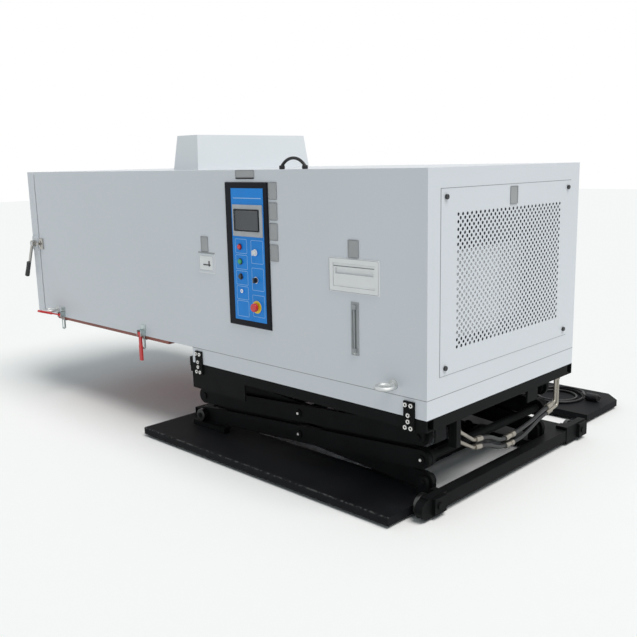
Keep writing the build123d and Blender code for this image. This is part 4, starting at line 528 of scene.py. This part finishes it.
# Floor board and its toggle clamps: reddish brown coated board, zinc clamps and red dipped handles.
# The clamps pull wire loops up against hooks on the board's front edge.
board_brown = coated("board_brown", (0.24, 0.07, 0.05), 0.5, 0.18, 7, 350, 0.05)
dress(board_brown, "floor_board")
zinc = coated("zinc", (0.50, 0.57, 0.57), 0.32, 0.14, 30, 600, 0.03, metal=0.85)
dress(zinc, "clamp_bases", "board_hooks")
red_dip = coated("red_dip", (0.62, 0.045, 0.05), 0.38, 0.06, 20, 900, 0.02)
dress(red_dip, "clamp_handle_left", "clamp_handle_right")

# Door and test space: a stainless lining, a chromed latch and hinges, and a black rubber seal.
# These pieces keep the drawing's shape and get their metal's or rubber's look.
stainless = coated("stainless", (0.66, 0.67, 0.68), 0.24, 0.05, 18, 500, 0.02, metal=1)
dress(stainless, "cabinet_liner")
latch_chrome = coated("latch_chrome", (0.40, 0.39, 0.37), 0.2, 0.12, 18, 500, 0.02, metal=1)
dress(latch_chrome, "door_hardware", "latch_lever")
seal_rubber = coated("seal_rubber", (0.05, 0.05, 0.052), 0.6, 0.15, 30, 800, 0.04)
dress(seal_rubber, "door_gasket")

# Grip of the latch lever: a black rubber sleeve, slightly waisted, pushed over the lever's end.
# A short round bar with a rounded end, narrowed at its middle and leant like the lever.
lean, reach = math.radians(24), 185
hub_x, hub_y, hub_z = 38, -33.5, body_z + 450
clear()
bpy.ops.mesh.primitive_cylinder_add(vertices=32, radius=0.0146, depth=0.102)
grip = bpy.context.object
grip.name = "latch_grip"
bpy.ops.object.mode_set(mode="EDIT")
for cut in (-0.03, 0.0, 0.03):
    bpy.ops.mesh.select_all(action="SELECT")
    bpy.ops.mesh.bisect(plane_co=(0, 0, cut), plane_no=(0, 0, 1))
bpy.ops.object.mode_set(mode="OBJECT")
for vertex in grip.data.vertices:
    vertex.select = abs(vertex.co.z) < 0.001
bpy.ops.object.mode_set(mode="EDIT")
bpy.ops.mesh.select_mode(type="VERT")
bpy.ops.transform.resize(value=(0.91, 0.91, 1))
bpy.ops.object.mode_set(mode="OBJECT")
grip_place = at(hub_x - reach * math.sin(lean), hub_y, hub_z - reach * math.cos(lean))
grip.matrix_world = Matrix.Translation(grip_place) @ Matrix.Rotation(lean, 4, "Y")
ends = grip.modifiers.new("ends", "BEVEL")
ends.width = 0.005
ends.segments = 4
ends.angle_limit = math.radians(60)
settle(knob_black, "latch")

# Control box: black surround, blue plate, grey operator panel, buttons and selectors.
# Each cap is moulded in its own colour, with a slight gloss.
surround = coated("surround", (0.006, 0.007, 0.011), 0.4, 0.1, 15, 800, 0.03, gloss=0.12)
dress(surround, "control_bezel")
blue_plate = coated("blue_plate", (0.012, 0.25, 0.76), 0.4, 0.03, 10, 700, 0.01, gloss=0.25)
dress(blue_plate, "control_fascia")
panel_grey = coated("panel_grey", (0.42, 0.44, 0.46), 0.42, 0.05, 25, 900, 0.02)
dress(panel_grey, "touch_panel")
red_cap = coated("red_cap", (0.65, 0.03, 0.03), 0.25, 0.05, 40, 700, 0.01, coat=0.3)
dress(red_cap, "button_red", "stop_button")
green_cap = coated("green_cap", (0.05, 0.38, 0.14), 0.25, 0.05, 40, 700, 0.01, coat=0.3)
dress(green_cap, "button_green")
black_cap = coated("black_cap", (0.02, 0.02, 0.022), 0.3, 0.1, 40, 700, 0.02, coat=0.2)
dress(black_cap, "button_black", "rotary_dark")
light_cap = coated("light_cap", (0.75, 0.76, 0.76), 0.3, 0.04, 40, 700, 0.01)
dress(light_cap, "rotary_light")

# Screen of the operator panel: a sheet of dark glass set into the grey bezel.
# It is switched off, so it shows nothing.
screen_glass = coated("screen_glass", (0.026, 0.035, 0.046), 0.1, 0.25, 6, 200, 0.0, coat=0.5)
plate("screen_edge", 2045.5, 2220.5, 620.5, 721.5, plate_dark, 0.6, -14.2)
plate("screen_glass", 2051.5, 2214.5, 626.5, 715.5, screen_glass, 0.5, -14.8)

# Lines printed on the blue plate: a thin pale frame round each control and one line under the heading.
# Each frame is a rounded rectangle, inset to a narrow rim and given a film's thickness.
print_ink = coated("print_ink", (0.36, 0.60, 0.90), 0.4, 0.03, 20, 900, 0.01, gloss=0.2)


def field(name, x0, x1, z0, z1, finish, y=-9.05, rim=1.8, proud=0.3, corner=6, body="platform"):
    clear()
    bpy.ops.mesh.primitive_plane_add(size=1, rotation=(math.pi / 2, 0, 0))
    made = bpy.context.object
    made.name = name
    made.scale = ((x1 - x0) / 1000, (z1 - z0) / 1000, 1)
    made.location = at((x0 + x1) / 2, y, body_z + (z0 + z1) / 2)
    bpy.ops.object.transform_apply(location=True, rotation=True, scale=True)
    bpy.ops.object.mode_set(mode="EDIT")
    bpy.ops.mesh.select_all(action="SELECT")
    bpy.ops.mesh.bevel(offset=corner / 1000, segments=4, affect="VERTICES")
    bpy.ops.mesh.select_all(action="SELECT")
    bpy.ops.mesh.inset(thickness=rim / 1000)
    bpy.ops.mesh.delete(type="FACE")
    bpy.ops.object.mode_set(mode="OBJECT")
    film = made.modifiers.new("film", "SOLIDIFY")
    film.thickness = proud / 1000
    film.offset = 1
    return settle(finish, body)


for z0, z1 in ((515, 583), (440, 508), (366, 433), (296, 360), (214, 290)):
    field("button_field", 2039, 2122, z0, z1, print_ink)
for z0, z1 in ((473, 581), (347, 453), (222, 326)):
    field("switch_field", 2150, 2233, z0, z1, print_ink)
field("heading_line", 2036, 2230, 770, 773.7, print_ink, corner=1)

# Collars of the buttons and switches: black moulded rings, and a yellow ring under the stop button.
# A circle is drawn out to a flat ring, and gets its thickness and a rounded rim.
stop_yellow = coated("stop_yellow", (0.85, 0.62, 0.02), 0.35, 0.04, 30, 800, 0.01)
collar_chrome = coated("collar_chrome", (0.70, 0.71, 0.72), 0.2, 0.04, 30, 600, 0.01, metal=1)


def collar(name, x, y, z, inner, outer, thick, finish):
    clear()
    bpy.ops.mesh.primitive_circle_add(vertices=48, radius=inner, rotation=(math.pi / 2, 0, 0))
    made = bpy.context.object
    made.name = name
    bpy.ops.object.mode_set(mode="EDIT")
    bpy.ops.mesh.select_all(action="SELECT")
    bpy.ops.mesh.extrude_region_move()
    bpy.ops.transform.resize(value=(outer / inner,) * 3)
    bpy.ops.mesh.select_all(action="SELECT")
    bpy.ops.mesh.normals_make_consistent(inside=False)
    bpy.ops.object.mode_set(mode="OBJECT")
    made.location = at(x, y, z)
    wall = made.modifiers.new("wall", "SOLIDIFY")
    wall.thickness = thick
    wall.offset = 0
    rim = made.modifiers.new("rim", "BEVEL")
    rim.width = thick * 0.35
    rim.segments = 3
    return settle(finish, "platform")


for z in (546, 477, 406):
    collar("button_collar", 2075, -12.6, body_z + z, 0.0114, 0.0152, 0.0024, knob_black)
for z in (525, 397):
    collar("switch_collar", 2182, -12.6, body_z + z, 0.0114, 0.0158, 0.0026, collar_chrome)
collar("stop_collar", 2182, -12.8, body_z + 270, 0.0086, 0.0302, 0.0022, stop_yellow)
collar("key_collar", 2079, -13.4, body_z + 337, 0.0035, 0.0098, 0.0018, collar_chrome)

# Water drawer and gauge: a pale moulded drawer in its frame, with painted shade as dark lines in its gaps and
# near its top.
# The gauge beside it is dull grey metal with one screw, and the fans and their motor look the same.
drawer_white = coated("drawer_white", (0.80, 0.81, 0.82), 0.34, 0.02, 20, 800, 0.01, gloss=0.4)
dress(drawer_white, "drawer_frame", "drawer_tray", "service_flap")
gauge_metal = coated("gauge_metal", (0.31, 0.33, 0.34), 0.42, 0.08, 20, 700, 0.02, metal=0.2)
dress(gauge_metal, "level_gauge", "fan_motor", "circulation_fan", "condenser_fan")
stud("gauge_screw", at(2781, -5.6, body_z + 140), front, 0.0045, 0.0022, screw_zinc, "platform")
# Dark grey films on the drawer and round its frame: painted shade in the gaps, and a painted shadow line near
# the drawer's top.
gap_shade_grey = coated("gap_shade_grey", (0.16, 0.165, 0.175), 0.6, 0.1, 40, 700, 0.02, gloss=0.2)
field("drawer_gap", 2661, 2893, 414.5, 515.5, gap_shade_grey, -2.15, 2, 0.3, 3, "drawer")
field("drawer_shadow_line", 2666, 2888, 500, 503.2, gap_shade_grey, -2.15, 1.5, 0.3, 1, "drawer")
field("drawer_rim", 2641.5, 2912.5, 395.5, 534.5, gap_shade_grey, -5.05, 1, 0.25, 4, "platform")

# Service flap: its moulded surround, a grey strip of painted shade along its top edge, and the small tee
# latch on the leaf.
# The surround is a flat rounded frame, and the latch is two crossed bars.
field("flap_surround", 1741, 1871, 399, 503, drawer_white, -0.05, 8, 1.2, 9, "platform")
# A grey strip along the top of the flap's recess: painted shade.
slab("flap_top_shade", (1742, -3.2, body_z + 497), (1870, 0, body_z + 503), 1, gauge_metal, 1.5, "platform")
# The latch bars are black: partly the latch's own colour, partly painted shade on it.
slab("flap_latch_bar", (1784, -7.4, body_z + 438), (1840, -4.9, body_z + 444), 1, black_cap, 1.5, "flap")
slab("flap_latch_post", (1826, -7.9, body_z + 434), (1834, -4.9, body_z + 461), 1, black_cap, 2, "flap")

# Inside pieces: bare aluminium fins, black compressor cans, a white tank and yellowish foam.
# They are seen through the ventilated panel and the open door.
fins = coated("fins", (0.68, 0.69, 0.70), 0.3, 0.08, 30, 500, 0.03, metal=1)
dress(fins, "air_coils", "condenser")
can_black = coated("can_black", (0.015, 0.015, 0.017), 0.4, 0.12, 12, 700, 0.03, gloss=0.3)
dress(can_black, "compressors")
tank_white = coated("tank_white", (0.93, 0.94, 0.95), 0.4, 0.02, 8, 500, 0.01)
dress(tank_white, "humidifier_tank")
foam = coated("foam", (0.78, 0.70, 0.48), 0.8, 0.08, 20, 250, 0.15)
dress(foam, "insulation")

# Floor and light: a plain pale floor under soft studio lamps.
# The floor shows white to the camera and still takes the machine's shadow.
clear()
bpy.ops.mesh.primitive_plane_add(size=60, location=(0, 0, 0))
ground = bpy.context.object
ground.name = "studio_floor"
floor_finish = coated("studio_floor", (0.97, 0.97, 0.97), 0.9, 0.002, 0.4, 60, 0.0, gloss=0.0)
ground.data.materials.append(floor_finish)
world = bpy.data.worlds.new("studio")
bpy.context.scene.world = world
world.use_nodes = True
tree = world.node_tree
sky = tree.nodes["Background"]
tint = tree.nodes.new("ShaderNodeValToRGB")
tint.color_ramp.elements[0].color = (0.87, 0.97, 1, 1)
tint.color_ramp.elements[1].color = (1, 1, 1, 1)
path = tree.nodes.new("ShaderNodeLightPath")
seen = tree.nodes.new("ShaderNodeMath")
seen.operation = "MAXIMUM"
level = tree.nodes.new("ShaderNodeMapRange")
level.inputs["To Min"].default_value = 0.38
level.inputs["To Max"].default_value = 1.0
tree.links.new(path.outputs["Is Camera Ray"], seen.inputs[0])
tree.links.new(path.outputs["Is Glossy Ray"], seen.inputs[1])
tree.links.new(seen.outputs[0], level.inputs["Value"])
tree.links.new(level.outputs["Result"], sky.inputs["Strength"])
tree.links.new(seen.outputs[0], tint.inputs["Fac"])
tree.links.new(tint.outputs["Color"], sky.inputs["Color"])
lamp = bpy.data.lights.new("key", "SUN")
lamp.energy = 2.15
lamp.color = (1, 0.975, 0.94)
lamp.angle = math.radians(35)
key = bpy.data.objects.new("key", lamp)
bpy.context.scene.collection.objects.link(key)
key.matrix_world = Vector((0.46, -0.03, 0.90)).to_track_quat("Z", "Y").to_matrix().to_4x4()
